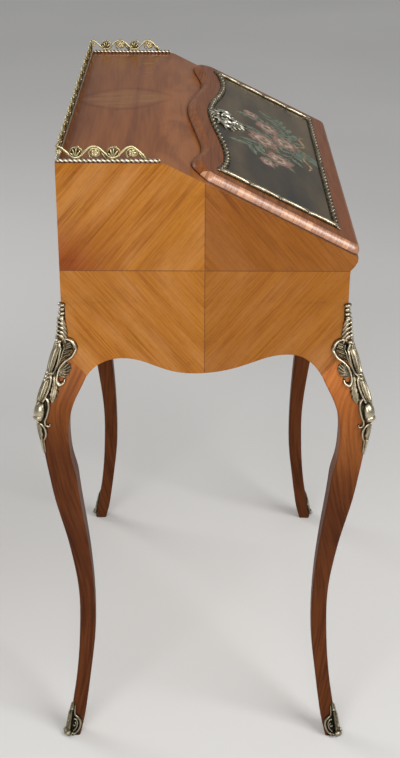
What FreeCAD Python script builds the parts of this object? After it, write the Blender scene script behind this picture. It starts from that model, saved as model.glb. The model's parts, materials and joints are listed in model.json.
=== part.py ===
"""A lady's slant-fall writing desk on cabriole legs, as a parametric document.

Millimetres. +Z is up, the front of the desk faces -Y, and the width runs along X.
The origin lies on the floor, under the middle of the case.
"""
import FreeCAD, Part
import math
import os

import Sketcher
from FreeCAD import Placement, Rotation, Vector

doc = FreeCAD.newDocument("LadysDesk")

# ---------------------------------------------------------------- driving sizes

SIZES = (
    ("case_width", 650, "width of the case over the sides"),
    ("case_depth", 400, "depth of the case, front to back"),
    ("leg_height", 752, "floor to where the legs' flare dies into the case"),
    ("frieze_rise", 65.4, "from there up to the writing deck"),
    ("upper_rise", 132.6, "writing deck to the level top"),
    ("top_flat_depth", 145, "depth of the level part of the top"),
    ("break_radius", 24, "rounding between the level and the sloping top"),
    ("nose_reach", 10.5, "how far the deck's nose stands in front of the case"),
    ("nose_height", 20, "height of the nose"),
    ("panel_thickness", 14, "sides, back and front frame"),
    ("top_thickness", 14, "top board"),
    ("deck_thickness", 12, "writing deck"),
    ("fall_lap", 21, "how far the top board runs down under the fall's hollows"),
    ("seam_drop", 71.5, "leg seam at the corner, below the flare's end"),
    ("arch_drop", 14.5, "apron's arches, below the leg seam's corner"),
    ("arch_inset", 85, "apron arch, in from the case's corner"),
    ("apron_dip", 24.5, "apron's middle, below its arches"),
    ("apron_front_lift", 6, "front arch of each side's apron, above its back arch"),
    ("post_size", 25, "square post on top of each leg, inside the case"),
    ("fall_thickness", 12, "fall board"),
    ("fall_setback", 30.8, "middle of the fall's top edge, below the break"),
    ("fall_valley_drop", 23, "hollows of the top edge, below its middle"),
    ("fall_ear_drop", 8.5, "ears of the top edge, below its middle"),
    ("fall_valley_inset", 131, "hollows of the top edge, in from the sides"),
    ("fall_ear_inset", 53, "ears of the top edge, in from the sides"),
    ("fall_top_inset", 12, "sides of the fall at its hollows, in from the case's sides"),
    ("fall_foot_inset", 4, "sides of the fall at its foot, in from the case's sides"),
    ("fall_shoulder_radius", 12, "upper corners of the fall, in its own plane"),
    ("fall_rounding", 10.5, "round-over of the fall's edges"),
    ("fall_corner_radius", 12, "lower corners of the fall, in its own plane"),
    ("hinge_reach", 0.5, "hinge axis in front of the nose"),
    ("hinge_lift", 0.1, "hinge axis above the deck"),
    ("moulding_inset", 42, "outer edge of the brass moulding, in from the sides"),
    ("moulding_start", 34, "outer edge of the lower moulding, from the hinge"),
    ("moulding_corner_drop", 32, "upper corners of the moulding, below the fall's ears"),
    ("moulding_valley_drop", 30, "hollows of the top moulding, below the fall's"),
    ("moulding_valley_shift", 11, "hollows of the top moulding, outside the fall's"),
    ("moulding_apex_drop", 28, "middle of the top moulding, below the fall's"),
    ("moulding_width", 12, "width of the brass moulding"),
    ("moulding_height", 5, "height of the brass moulding"),
    ("sheet_thickness", 1, "picture panel and leathers"),
    ("fit_gap", 0.1, "gap round inlaid pieces"),
    ("leather_inset", 57, "leathers, in from the case's sides"),
    ("leather_start", 34, "lower edge of the fall's leather, from the hinge"),
    ("leather_stop", 13, "upper edge of the fall's leather, below the lock"),
    ("deck_leather_start", 22, "deck leather, behind the case's front"),
    ("deck_leather_stop", 14, "deck leather, in front of the nest"),
    ("keyhole_drop", 62, "keyhole of the fall, below the middle of its top edge"),
    ("rail_width", 5, "gallery's base rail"),
    ("gallery_height", 26, "gallery over the top"),
    ("gallery_pitch", 50, "length of one wave of the gallery's scrollwork"),
    ("gallery_band", 2.6, "width of the scroll's band, seen from the side"),
    ("gallery_thickness", 2.4, "thickness of the scrollwork"),
    ("mount_gap", 0.3, "running gap under a mount on a curved face"),
    ("drawer_floor_drop", 46, "drawer opening's sill, below the flare's end"),
    ("drawer_opening_width", 452, "frieze drawer's opening"),
    ("drawer_rail", 9.4, "rail between the frieze drawer's opening and the nose"),
    ("drawer_gap", 1, "gap round the drawer's front"),
    ("drawer_front_thickness", 16, "drawer front"),
    ("drawer_side_thickness", 9, "drawer sides and back"),
    ("drawer_side_height", 64, "drawer sides"),
    ("drawer_play", 36, "space behind the frieze drawer"),
    ("drawer_bottom_thickness", 6, "drawer bottom"),
    ("drawer_bottom_rise", 5, "drawer bottom over the lower edge of the sides"),
    ("drawer_side_inset", 2, "drawer sides, in from the ends of the front"),
    ("drawer_lock_width", 50, "drawer lock"),
    ("drawer_lock_height", 30, "drawer lock"),
    ("drawer_lock_depth", 10, "drawer lock"),
    ("drawer_key_lift", 4, "keyhole of the drawer, over the middle of its front"),
    ("guide_width", 12, "drawer guides"),
    ("guide_height", 24, "drawer guides"),
    ("running_gap", 0.3, "gap at a running face"),
    ("loper_width", 19, "lopers"),
    ("loper_height", 30, "lopers"),
    ("loper_play", 16, "space behind the lopers"),
    ("housing_floor", 10, "floor under each loper"),
    ("housing_wall", 12, "wall beside each loper"),
    ("nest_front", 62, "front of the inner nest, behind the case's middle"),
    ("nest_board", 8, "boards of the inner nest"),
    ("nest_drawer_height", 48, "clear height of the small drawers' bays"),
    ("nest_divider_reach", 104, "inner dividers, from the middle"),
    ("nest_drawer_wall", 7, "walls of the small drawers"),
    ("nest_drawer_floor", 5, "floors of the small drawers"),
    ("nest_drawer_play", 6, "space behind the small drawers"),
    ("bail_reach", 33, "half the width of a drawer bail"),
    ("bail_rod", 2.2, "radius of the bail's rod"),
    ("bail_offset", 8, "bail's axis, in front of the drawer"),
    ("bail_pivot", 1.5, "radius of the bail's pivots"),
    ("handle_post_spread", 7, "handle posts, outside the bail's rod"),
    ("handle_post_radius", 3.6, "stems of the handle posts"),
    ("rosette_radius", 8, "rosettes of the handle posts"),
    ("rosette_thickness", 2, "rosettes of the handle posts"),
    ("handle_reach", 130, "drawer handles, from the middle"),
    ("hinge_place", 200, "hinges, from the middle"),
    ("hinge_length", 60, "length of each hinge"),
    ("leaf_depth", 25, "depth of each hinge leaf"),
    ("leaf_thickness", 1.5, "hinge leaves"),
    ("knuckle_radius", 2.5, "hinge knuckles"),
    ("pin_radius", 1.2, "hinge pins"),
    ("screw_head", 2.9, "radius of a hinge screw's head"),
    ("screw_shank", 1.6, "radius of a hinge screw's shank"),
    ("screw_sink", 1.5, "height of a hinge screw's cone"),
    ("screw_length", 8.5, "length of a hinge screw"),
    ("keyhole_radius", 2.5, "keyholes"),
    ("lock_width", 56, "lock case of the fall"),
    ("lock_cover", 0.8, "lock case of the fall, over its slot"),
    ("lock_margin", 15, "lock case, beyond its keyhole and beyond its bolt"),
    ("staple_setback", 10, "staple of the fall lock, above the top board's lower edge"),
    ("bolt_size", 3, "square bolt of the fall lock"),
    ("bolt_length", 22, "bolt of the fall lock"),
    ("bolt_throw", 8, "travel of the bolt"),
    ("staple_width", 4, "staple of the fall lock"),
    ("staple_depth", 9, "staple of the fall lock"),
    ("staple_height", 7.8, "staple of the fall lock"),
    ("staple_plate_width", 32, "plate under the staple"),
    ("staple_plate_depth", 16, "plate under the staple"),
)

# One row per height of a leg: share of leg_height, then how far the inner and
# the outer face stand outside the case's corner line.
LEG_STATIONS = (
    (0.000, -2.0, 18.0),
    (0.048, -10.5, 12.0),
    (0.148, -21.5, 0.5),
    (0.239, -29.5, -5.5),
    (0.346, -31.0, -7.0),
    (0.460, -26.5, 2.4),
    (0.592, -17.0, 20.0),
    (0.645, -13.5, 25.3),
    (0.691, -7.5, 29.5),
    (0.758, -6.5, 34.0),
    (0.806, -14.5, 32.5),
    (0.846, -29.5, 22.0),
    (0.860, -34.5, 18.2),
    (0.871, -38.5, 15.3),
    (0.919, -42.0, 5.0),
    (0.960, -42.0, 1.2),
    (1.000, -42.0, 0.0),
)

# Knee mount, one row per height: share of leg_height, width along each face
# from the corner, and how far it stands proud.
KNEE_MOUNT_STATIONS = (
    (0.691, 3.5, 3.0),
    (0.713, 8.0, 6.0),
    (0.741, 13.0, 9.0),
    (0.762, 17.0, 9.0),
    (0.787, 26.0, 8.0),
    (0.822, 32.0, 5.0),
    (0.852, 36.0, 7.0),
    (0.883, 31.0, 9.0),
    (0.918, 17.0, 7.0),
    (0.952, 10.0, 8.0),
    (0.977, 12.0, 8.0),
    (1.000, 8.0, 5.0),
)

# Sabot, in the same terms.
SABOT_STATIONS = (
    (0.000, 19.0, 7.0),
    (0.018, 20.0, 9.0),
    (0.040, 17.0, 6.5),
    (0.066, 11.0, 5.0),
    (0.096, 4.0, 3.0),
)

sheet = doc.addObject("Spreadsheet::Sheet", "Sizes")
for row, (alias, value, meaning) in enumerate(SIZES, start=1):
    sheet.set(f"A{row}", meaning)
    sheet.set(f"B{row}", str(value))
    sheet.setAlias(f"B{row}", alias)
doc.recompute()


class Length(float):
    """A number that also knows its formula on the sheet."""

    def __new__(cls, value, formula):
        length = float.__new__(cls, value)
        length.formula = formula
        return length

    def join(self, sign, other, turned=False):
        first, second = (other, self) if turned else (self, other)
        a, b = float(first), float(second)
        value = {"+": a + b, "-": a - b, "*": a * b, "/": a / b if b else 0.0}[sign]
        return Length(value, f"({formula_of(first)} {sign} {formula_of(second)})")

    def __add__(self, other):
        return self.join("+", other)

    def __radd__(self, other):
        return self.join("+", other, True)

    def __sub__(self, other):
        return self.join("-", other)

    def __rsub__(self, other):
        return self.join("-", other, True)

    def __mul__(self, other):
        return self.join("*", other)

    def __rmul__(self, other):
        return self.join("*", other, True)

    def __truediv__(self, other):
        return self.join("/", other)

    def __neg__(self):
        return Length(-float(self), f"(-{self.formula})")


def formula_of(number):
    return number.formula if isinstance(number, Length) else repr(float(number))


def named(alias):
    return Length(float(sheet.get(alias)), f"Sizes.{alias}")


# ---------------------------------------------------------------- worked-out places

gap = named("running_gap")
panel = named("panel_thickness")
half_width = named("case_width") / 2
half_depth = named("case_depth") / 2
inner_x = half_width - panel
inner_y = half_depth - panel
leg_height = named("leg_height")
deck_top = leg_height + named("frieze_rise")
deck_under = deck_top - named("deck_thickness")
nose_under = deck_top - named("nose_height")
top_level = deck_top + named("upper_rise")
top_under = top_level - named("top_thickness")
nose_y = -(half_depth + named("nose_reach"))
break_y = half_depth - named("top_flat_depth")
seam_corner = leg_height - named("seam_drop")
arch_level = seam_corner - named("arch_drop")
sill = leg_height - named("drawer_floor_drop")
slope_run = math.hypot(break_y - nose_y, top_level - deck_top)
fall_apex = slope_run - named("fall_setback")
fall_valley = fall_apex - named("fall_valley_drop")
fall_ear = fall_apex - named("fall_ear_drop")
fall_valley_x = half_width - named("fall_valley_inset")
fall_ear_x = half_width - named("fall_ear_inset")
top_edge = fall_valley - named("fall_lap")
hinge_y = nose_y - named("hinge_reach")
hinge_z = deck_top + named("hinge_lift")
slope = math.atan2(top_level - deck_top, break_y - nose_y)
COS, SIN = math.cos(slope), math.sin(slope)
TINY = 1e-3


def on_slope(along, off=0.0):
    """Point of the case's slope plane (y, z): along it from the nose, and off it."""
    return nose_y + along * COS - off * SIN, deck_top + along * SIN + off * COS


# The fall's own frame: X across, Y up the slope from the hinge, Z off the slope.
# FALL_BED is how far its underside stands off the case's slope plane.
FALL_FRAME = Placement(Vector(0, hinge_y, hinge_z), Rotation(Vector(1, 0, 0), math.degrees(slope)))
FALL_BED = (nose_y - hinge_y) * SIN + (hinge_z - deck_top) * COS


# ---------------------------------------------------------------- helpers

NODES = []


def keep(thing, label):
    """Give a finished piece its name and list it for export."""
    thing.Label = label
    NODES.append(thing)
    return thing


def block(name, low, high):
    """A rectangular block between two corners, bound to the sheet."""
    box = doc.addObject("Part::Box", name)
    for side, a, b in zip(("Length", "Width", "Height"), low, high):
        box.setExpression(side, f"{formula_of(b)} - {formula_of(a)}")
    for axis, a in zip("xyz", low):
        box.setExpression(f"Placement.Base.{axis}", formula_of(a))
    return box


def shaped(name, shape, placement=None):
    """A piece whose form is worked out here from the sheet's values."""
    feature = doc.addObject("Part::Feature", name)
    feature.Shape = shape
    if placement is not None:
        feature.Placement = placement
    return feature


def joined(name, *parts):
    fuse = doc.addObject("Part::MultiFuse", name)
    fuse.Shapes = list(parts)
    fuse.Refine = True
    return fuse


def cut(name, base, *tools):
    """Base with every tool taken out of it."""
    result = doc.addObject("Part::Cut", name)
    result.Base = base
    result.Tool = tools[0] if len(tools) == 1 else joined(name + "_tools", *tools)
    result.Refine = True
    return result


def mirrored(name, source, across):
    """A twin of a piece on the other side of the desk."""
    twin = doc.addObject("Part::Mirroring", name)
    twin.Source = source
    twin.Normal = across
    return twin


def group(name, shapes):
    """Like pieces that share one node as separate solids."""
    return shaped(name, Part.makeCompound(shapes))


def curve(points):
    """A smooth edge through some points."""
    spline = Part.BSplineCurve()
    spline.interpolate(points)
    return spline.toShape()


def polyline(points):
    return [Part.makeLine(a, b) for a, b in zip(points, points[1:])]


def prism(points, sweep):
    """A flat polygon, drawn out along a vector."""
    face = Part.Face(Part.makePolygon(points + points[:1]))
    return face.extrude(sweep)


def stretch_x(points, low, high):
    """Profile of (y, z) points, drawn out along X."""
    return prism([Vector(low, y, z) for y, z in points], Vector(high - low, 0, 0))


def station(stations, height, column):
    """Smooth value between the rows of a list of stations."""
    heights = [row[0] for row in stations]
    values = [row[column] for row in stations]
    place = min(max(height, heights[0]), heights[-1])
    index = max(i for i in range(len(heights) - 1) if heights[i] <= place)

    def lean(i):
        if i in (0, len(heights) - 1):
            return 0.0 if i else (values[1] - values[0]) / (heights[1] - heights[0])
        return (values[i + 1] - values[i - 1]) / (heights[i + 1] - heights[i - 1])

    span = heights[index + 1] - heights[index]
    t = (place - heights[index]) / span
    ease = t * t * (3 - 2 * t)
    return (values[index] * (1 - ease) + values[index + 1] * ease
            + span * t * (1 - t) * ((1 - t) * lean(index) - t * lean(index + 1)))


def leg_inner(z):
    return station(LEG_STATIONS, z / leg_height, 1)


def leg_outer(z):
    return station(LEG_STATIONS, z / leg_height, 2)


def driven_profile(body, plane_role, points):
    """A closed sketch of straight lines, each corner bound to the sheet."""
    plane = next(f for f in body.Origin.OriginFeatures if f.Role == plane_role)
    sketch = body.newObject("Sketcher::SketchObject", body.Name + "_profile")
    sketch.AttachmentSupport = (plane, "")
    sketch.MapMode = "FlatFace"
    corners = [Vector(a, b, 0) for a, b in points]
    for start, end in zip(corners, corners[1:] + corners[:1]):
        sketch.addGeometry(Part.LineSegment(start, end), False)
    for index, point in enumerate(points):
        following = (index + 1) % len(points)
        sketch.addConstraint(Sketcher.Constraint("Coincident", index, 2, following, 1))
        for axis, value, line in (("X", point[0], -2), ("Y", point[1], -1)):
            if abs(value) < TINY:
                sketch.addConstraint(Sketcher.Constraint("PointOnObject", index, 1, line))
                continue
            ends = (-1, 1, index, 1) if value > 0 else (index, 1, -1, 1)
            number = sketch.addConstraint(Sketcher.Constraint("Distance" + axis, *ends, abs(value)))
            if isinstance(value, Length):
                sketch.setExpression(f"Constraints[{number}]", f"abs({value.formula})")
    return sketch


def padded(name, plane_role, points, length, midplane=False):
    """A PartDesign body: one driven profile, padded."""
    body = doc.addObject("PartDesign::Body", name)
    sketch = driven_profile(body, plane_role, points)
    pad = body.newObject("PartDesign::Pad", name + "_pad")
    pad.Profile = sketch
    pad.setExpression("Length", formula_of(length))
    pad.Midplane = midplane
    doc.recompute()
    return body, pad


def turned(name, points, placement):
    """A turned piece: its profile (radius, height) spun about Z, then placed."""
    body = doc.addObject("PartDesign::Body", name)
    sketch = driven_profile(body, "XZ_Plane", points)
    spin = body.newObject("PartDesign::Revolution", name + "_spin")
    spin.Profile = sketch
    spin.ReferenceAxis = (sketch, ["V_Axis"])
    spin.Angle = 360
    body.Placement = placement
    doc.recompute()
    return body


# ---------------------------------------------------------------- case panels

# In from a case corner: where the leg's edge meets the apron, and where the
# corner's flare begins and is full.
LEG_EDGE = 34.5
BLEND_FAR, BLEND_NEAR = 110.0, 30.0
FLARE_HEIGHTS = (0.815, 0.846, 0.871, 0.895, 0.919, 0.945, 0.972, 1.0)
FLARE_INSETS = (24, 34, 45, 58, 72, 88, 105, 125)
# The apron's curve. From its middle to an arch: share of the way, and share of
# the dip. Its shoulder beside the leg: in from the corner, below the arch, and
# share of the front arch's lift.
ARCH_RISE = ((0.41, 0.86), (0.77, 0.24), (1.0, 0.0))
SHOULDER = ((62, 1.5, 1.0), (46, 8.5, 0.5))
BEYOND = 100.0


def flare_share(inset):
    """How much of the corner's flare reaches a point this far in from the corner."""
    t = min(max((BLEND_FAR - inset) / (BLEND_FAR - BLEND_NEAR), 0.0), 1.0)
    return t * t * (3 - 2 * t)


def apron_edge(half, lift):
    """The apron's lower edge as (along, height) points; the arch on its right is lifted."""
    arch = half - named("arch_inset")
    dip = named("apron_dip")
    rise = [(arch * run, arch_level - dip * drop, 1.0) for run, drop in ARCH_RISE]
    rise += [(half - inset, arch_level - drop, share) for inset, drop, share in SHOULDER]
    left = [(-a, z) for a, z, share in reversed(rise)]
    right = [(a, z + lift * share) for a, z, share in rise]
    foot = seam_corner - LEG_EDGE
    return [(LEG_EDGE - half, foot), *left, (0.0, arch_level - dip), *right, (half - LEG_EDGE, foot)]


def flared_panel(half, edge, ends_follow, lift=0.0):
    """Lower part of a case panel, in its own frame.

    X runs along the panel, Y is outward from its nominal face, Z is up. Near the
    corners the outer face swells with the legs. Below, the apron's curve and the
    two leg seams bound it. Above, it stops at the flare's end.
    """
    wires = []
    for share in FLARE_HEIGHTS:
        z = share * leg_height
        flare = leg_outer(z)
        end = edge + flare if ends_follow else edge
        along = [-end] + [inset - half for inset in FLARE_INSETS if inset > half - end + 8]
        along += [-half * 0.25, half * 0.25] + [-a for a in reversed(along)]
        outer = [Vector(a, flare * flare_share(half - abs(a)), z) for a in along]
        back = [Vector(end, -panel, z), Vector(-end, -panel, z)]
        wires.append(Part.Wire([curve(outer)] + polyline([outer[-1]] + back + [outer[0]])))
    swollen = Part.makeLoft(wires, True, False)
    reach = edge + BEYOND if ends_follow else edge
    lower = curve([Vector(a, -BEYOND, z) for a, z in apron_edge(half, lift)])
    seam_low = seam_corner - LEG_EDGE
    seam_high = seam_low + reach - (half - LEG_EDGE)
    over = max(leg_height, seam_high) + 1
    right = [Vector(half - LEG_EDGE, -BEYOND, seam_low), Vector(reach, -BEYOND, seam_high),
             Vector(reach, -BEYOND, over)]
    left = [Vector(-p.x, p.y, p.z) for p in reversed(right)]
    mask = Part.Face(Part.Wire([lower] + polyline(right + left))).extrude(Vector(0, 2 * BEYOND, 0))
    return swollen.common(mask)


NOSE_CURVE = ((0.0, 1.0), (0.30, 0.93), (0.62, 0.62), (1.0, 0.0))


def nose_profile():
    """Front of the nose, from the deck's edge down to the case's face."""
    down = deck_top - nose_under
    reach = -half_depth - nose_y
    return [(-half_depth - reach * share, deck_top - down * drop) for drop, share in NOSE_CURVE]


def side_upper():
    """Upper part of a side panel as a (y, z) profile."""
    depth = named("top_thickness")
    under_break = break_y + depth * math.tan(slope / 2)
    points = [(-half_depth, leg_height), *reversed(nose_profile())]
    points += [on_slope(top_edge), on_slope(top_edge, -depth), (under_break, top_under)]
    points += [(half_depth, top_under), (half_depth, leg_height)]
    return points


def side_panel():
    lower = flared_panel(half_depth, half_depth, True, named("apron_front_lift"))
    lower.Placement = Placement(Vector(half_width, 0, 0), Rotation(Vector(0, 0, 1), -90))
    upper = stretch_x(side_upper(), inner_x, half_width)
    return lower.fuse(upper).removeSplitter()


def end_panel(height):
    """Back panel or front frame blank, in its own frame, between the sides."""
    lower = flared_panel(half_width, inner_x, False)
    upper = Part.makeBox(2 * inner_x, panel, height - leg_height, Vector(-inner_x, -panel, leg_height))
    return lower.fuse(upper).removeSplitter()


side_right = keep(shaped("side_panel_right", side_panel()), "side_panel_right")
keep(mirrored("side_panel_left", side_right, Vector(1, 0, 0)), "side_panel_left")
back = shaped("back_panel", end_panel(top_under), Placement(Vector(0, half_depth, 0), Rotation()))
keep(back, "back_panel")

loper_inner = inner_x - gap - named("loper_width")
loper_base = deck_under - gap - named("loper_height")
opening_half = named("drawer_opening_width") / 2
opening_top = nose_under - named("drawer_rail")
before_case = nose_y - BEYOND
housing_spans = (("left", -inner_x - 1, gap - loper_inner), ("right", loper_inner - gap, inner_x + 1))

front_blank = shaped("front_blank", end_panel(nose_under),
                     Placement(Vector(0, -half_depth, 0), Rotation(Vector(0, 0, 1), 180)))
drawer_hole = block("drawer_hole", (-opening_half, before_case, sill), (opening_half, 0.0, opening_top))
loper_holes = [block(f"loper_hole_{side}", (low, before_case, loper_base - gap), (high, 0.0, deck_top))
               for side, low, high in housing_spans]
keep(cut("front_frame", front_blank, drawer_hole, *loper_holes), "front_frame")


# ---------------------------------------------------------------- top and deck

def top_profile():
    """Top board in (y, z): level part, break, sloping part."""
    depth = named("top_thickness")
    under_break = break_y + depth * math.tan(slope / 2)
    return [(half_depth, top_level), (break_y, top_level), on_slope(top_edge), on_slope(top_edge, -depth),
            (under_break, top_under), (half_depth, top_under)]


top_body, top_pad = padded("top_body", "YZ_Plane", top_profile(), named("case_width"), midplane=True)
break_edge = next(
    f"Edge{number}" for number, edge in enumerate(top_pad.Shape.Edges, start=1)
    if all(abs(v.Y - break_y) < TINY and abs(v.Z - top_level) < TINY for v in edge.Vertexes)
)
top_fillet = top_body.newObject("PartDesign::Fillet", "top_break")
top_fillet.Base = (top_pad, [break_edge])
top_fillet.setExpression("Radius", "Sizes.break_radius")
doc.recompute()

deck_points = [(inner_y, deck_top), *nose_profile(), (-inner_y, nose_under), (-inner_y, deck_under),
               (inner_y, deck_under)]
deck_body, deck_pad = padded("deck_body", "YZ_Plane", deck_points, 2 * inner_x, midplane=True)
deck_notches = [block(f"deck_notch_{side}", (low, before_case, loper_base), (high, -inner_y, deck_under))
                for side, low, high in housing_spans]


# ---------------------------------------------------------------- legs

LEG_SHARES = (0, 0.02, 0.048, 0.09, 0.148, 0.19, 0.239, 0.29, 0.346, 0.40, 0.46, 0.53, 0.592, 0.62,
              0.645, 0.668, 0.691, 0.725, 0.758, 0.782, 0.806, 0.826, 0.846, 0.860, 0.871, 0.895, 0.919)
OUTER_ROUND, INNER_ROUND = 3.5, 3.0
# How far past the apron's arches the leg runs on inside the case, and where its post begins.
CORE_RISE, POST_RISE = 20.0, 4.0
# A leg's corner in plan: X is this much further out than Y.
shift = half_width - half_depth


def rounded_square(low, high, z):
    """Horizontal section of a leg: a square on the desk's diagonal, its corners rounded."""
    radii = (INNER_ROUND, INNER_ROUND, OUTER_ROUND, INNER_ROUND)
    corners = ((low, low), (high, low), (high, high), (low, high))
    turns = ((-1, -1), (1, -1), (1, 1), (-1, 1))
    arcs = []
    for (cx, cy), (sx, sy), radius in zip(corners, turns, radii):
        centre = Vector(cx + shift - sx * radius, cy - sy * radius, z)
        begin = math.degrees(math.atan2(sy, sx)) - 45
        points = [centre + Vector(radius * math.cos(math.radians(begin + turn)),
                                  radius * math.sin(math.radians(begin + turn)), 0) for turn in (0, 45, 90)]
        arcs.append(points)
    edges = []
    for index, points in enumerate(arcs):
        edges.append(Part.Arc(*points).toShape())
        edges.append(Part.makeLine(points[2], arcs[(index + 1) % 4][0]))
    return Part.Wire(edges)


def leg_shape():
    """The back right leg: its stem cut along the mitres to the aprons, its core and its post."""
    sections = []
    for share in LEG_SHARES:
        z = share * leg_height
        sections.append(rounded_square(half_depth + leg_inner(z), half_depth + leg_outer(z), z))
    stem = Part.makeLoft(sections, True, False)
    root = half_depth / 3
    far = half_depth + BEYOND
    seam_at_zero = seam_corner - half_depth
    under_side = [(root, -BEYOND), (far, -BEYOND), (far, seam_at_zero + far), (root, seam_at_zero + root)]
    side_mask = stretch_x(under_side, root, half_width + BEYOND)
    seam_foot = Vector(root + shift, root, seam_at_zero + root)
    under_apron = prism([Vector(seam_foot.x, root, -BEYOND), Vector(inner_x, root, -BEYOND),
                         Vector(inner_x, root, seam_corner - panel), seam_foot], Vector(0, far - root, 0))
    outside = Part.makeBox(2 * BEYOND, far - root, leg_height + 2 * BEYOND, Vector(inner_x, root, -BEYOND))
    core = stem.common(Part.makeBox(inner_x - root - shift, inner_y - root, arch_level + CORE_RISE,
                                    Vector(root + shift, root, 0)))
    stem = stem.common(side_mask).common(under_apron.fuse(outside).removeSplitter())
    post = named("post_size")
    foot = arch_level + POST_RISE
    column = Part.makeBox(post, post, loper_base - gap - named("housing_floor") - foot,
                          Vector(inner_x - post, inner_y - post, foot))
    return stem.multiFuse([core, column]).removeSplitter()


def four_corners(stem_name, shape):
    """A piece at the back right corner, and its twins at the other three."""
    first = keep(shaped(f"{stem_name}_back_right", shape), f"{stem_name}_back_right")
    keep(mirrored(f"{stem_name}_back_left", first, Vector(1, 0, 0)), f"{stem_name}_back_left")
    front = keep(mirrored(f"{stem_name}_front_right", first, Vector(0, 1, 0)), f"{stem_name}_front_right")
    keep(mirrored(f"{stem_name}_front_left", front, Vector(1, 0, 0)), f"{stem_name}_front_left")


four_corners("leg", leg_shape())


def corner_mount(stations, step):
    """A brass mount that wraps a leg's outer corner, with a section about every step."""
    low, high = stations[0][0], stations[-1][0]
    count = max(int(round((high - low) * leg_height / step)), 4)
    wires = []
    for index in range(count + 1):
        share = low + (high - low) * index / count
        z = share * leg_height
        face = half_depth + leg_outer(z) + named("mount_gap")
        width = station(stations, share, 1)
        proud = station(stations, share, 2)
        elbow = Vector(face + shift, face, z)
        crown = elbow + Vector(proud, proud, 0) * 0.72
        wing, twin = elbow - Vector(width, 0, 0), elbow - Vector(0, width, 0)
        swell = elbow + Vector(-width * 0.55, proud * 0.75, 0)
        twin_swell = elbow + Vector(proud * 0.75, -width * 0.55, 0)
        outer = curve([twin, twin_swell, crown, swell, wing])
        wires.append(Part.Wire([outer] + polyline([wing, elbow, twin])))
    return Part.makeLoft(wires, True, False)


four_corners("knee_mount", corner_mount(KNEE_MOUNT_STATIONS, 11))
four_corners("sabot", corner_mount(SABOT_STATIONS, 9))


# ---------------------------------------------------------------- gallery

def gallery_run(length, falling):
    """One run of the gallery, in its own frame: along X from 0, standing on Z = 0.

    A wavy band over a base rail, with a disc in each hollow and under each crest.
    The falling end dies down to the rail.
    """
    rail_size = named("rail_width")
    tall = named("gallery_height")
    band = named("gallery_band")
    thick = named("gallery_thickness")
    wavy = length - (tall * 0.6 if falling else 0)
    halves = max(int(round(wavy / named("gallery_pitch") * 2)), 2)
    half_pitch = wavy / halves
    start = math.pi if falling else 0.0
    low, high = rail_size - band / 2, tall - band

    def height(s):
        return low + (high - low) / 2 * (1 - math.cos(math.pi * s / half_pitch + start))

    front = (rail_size - thick) / 2
    stops = [half_pitch * index / 4 for index in range(4 * halves + 1)]
    middle = [Vector(min(max(s, 1.0), wavy - 1.0), front, max(height(s), rail_size - 1)) for s in stops]
    over = [p + Vector(0, 0, band / 2) for p in middle]
    under = [p - Vector(0, 0, band / 2) for p in middle]
    ribbon = Part.Wire([curve(over), Part.makeLine(over[-1], under[-1]), curve(under[::-1]),
                        Part.makeLine(under[0], over[0])])
    solids = [Part.makeBox(length, rail_size, rail_size), Part.Face(ribbon).extrude(Vector(0, thick, 0))]
    radius = (tall - rail_size - 2 * band) / 3
    for index in range(halves + 1):
        s = half_pitch * index
        crest = height(s) > (low + high) / 2
        z = rail_size + radius * 0.9 if crest else tall - radius * 1.35 - band
        if not 2 * radius < s < wavy - radius:
            continue
        solids.append(Part.makeCylinder(radius, thick, Vector(s, front, z), Vector(0, 1, 0)))
        if not crest:
            solids.append(Part.makeBox(band, thick, z - rail_size, Vector(s - band / 2, front, rail_size)))
    return solids[0].multiFuse(solids[1:]).removeSplitter()


edge_inset = 0.5
corner_gap = 0.1
back_run_y = half_depth - named("rail_width") - edge_inset
side_run_length = back_run_y - corner_gap - (break_y + named("rail_width"))
back_run_length = named("case_width") - 2 * edge_inset
back_run = shaped("gallery_back", gallery_run(back_run_length, False),
                  Placement(Vector(-back_run_length / 2, back_run_y, top_level), Rotation()))
keep(back_run, "gallery_back")
side_place = Vector(half_width - edge_inset - named("rail_width"), back_run_y - corner_gap, top_level)
right_run = shaped("gallery_right", gallery_run(side_run_length, True),
                   Placement(side_place, Rotation(Vector(0, 0, 1), -90)))
keep(right_run, "gallery_right")
keep(mirrored("gallery_left", right_run, Vector(1, 0, 0)), "gallery_left")


# ---------------------------------------------------------------- fall

# Beyond an ear: share of the way to the side, and share of the drop to a hollow.
FALL_SHOULDER = ((0.30, 0.21), (0.53, 0.79), (0.68, 1.34))


def fall_top_edge():
    """Right half of the fall's serpentine top edge, from the middle outwards."""
    swing = (fall_apex - fall_valley) / 2
    points = []
    for share in (0.0, 0.25, 0.5, 0.75, 1.0):
        points.append((fall_valley_x * share, fall_valley + swing * (1 + math.cos(math.pi * share))))
    points += [((fall_valley_x + fall_ear_x) / 2, (fall_valley + fall_ear) / 2), (fall_ear_x, fall_ear)]
    span, depth = half_width - fall_ear_x, fall_ear - fall_valley
    points += [(fall_ear_x + span * run, fall_ear - depth * drop) for run, drop in FALL_SHOULDER]
    return points


def round_corner(corner, before, after, radius):
    """Arc that rounds a corner between the directions to two points: its three points."""
    to_before, to_after = (before - corner).normalize(), (after - corner).normalize()
    half_angle = to_before.getAngle(to_after) / 2
    start = corner + to_before * (radius / math.tan(half_angle))
    end = corner + to_after * (radius / math.tan(half_angle))
    centre = corner + (to_before + to_after).normalize() * (radius / math.sin(half_angle))
    middle = centre + (corner - centre).normalize() * radius
    return start, middle, end


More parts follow.
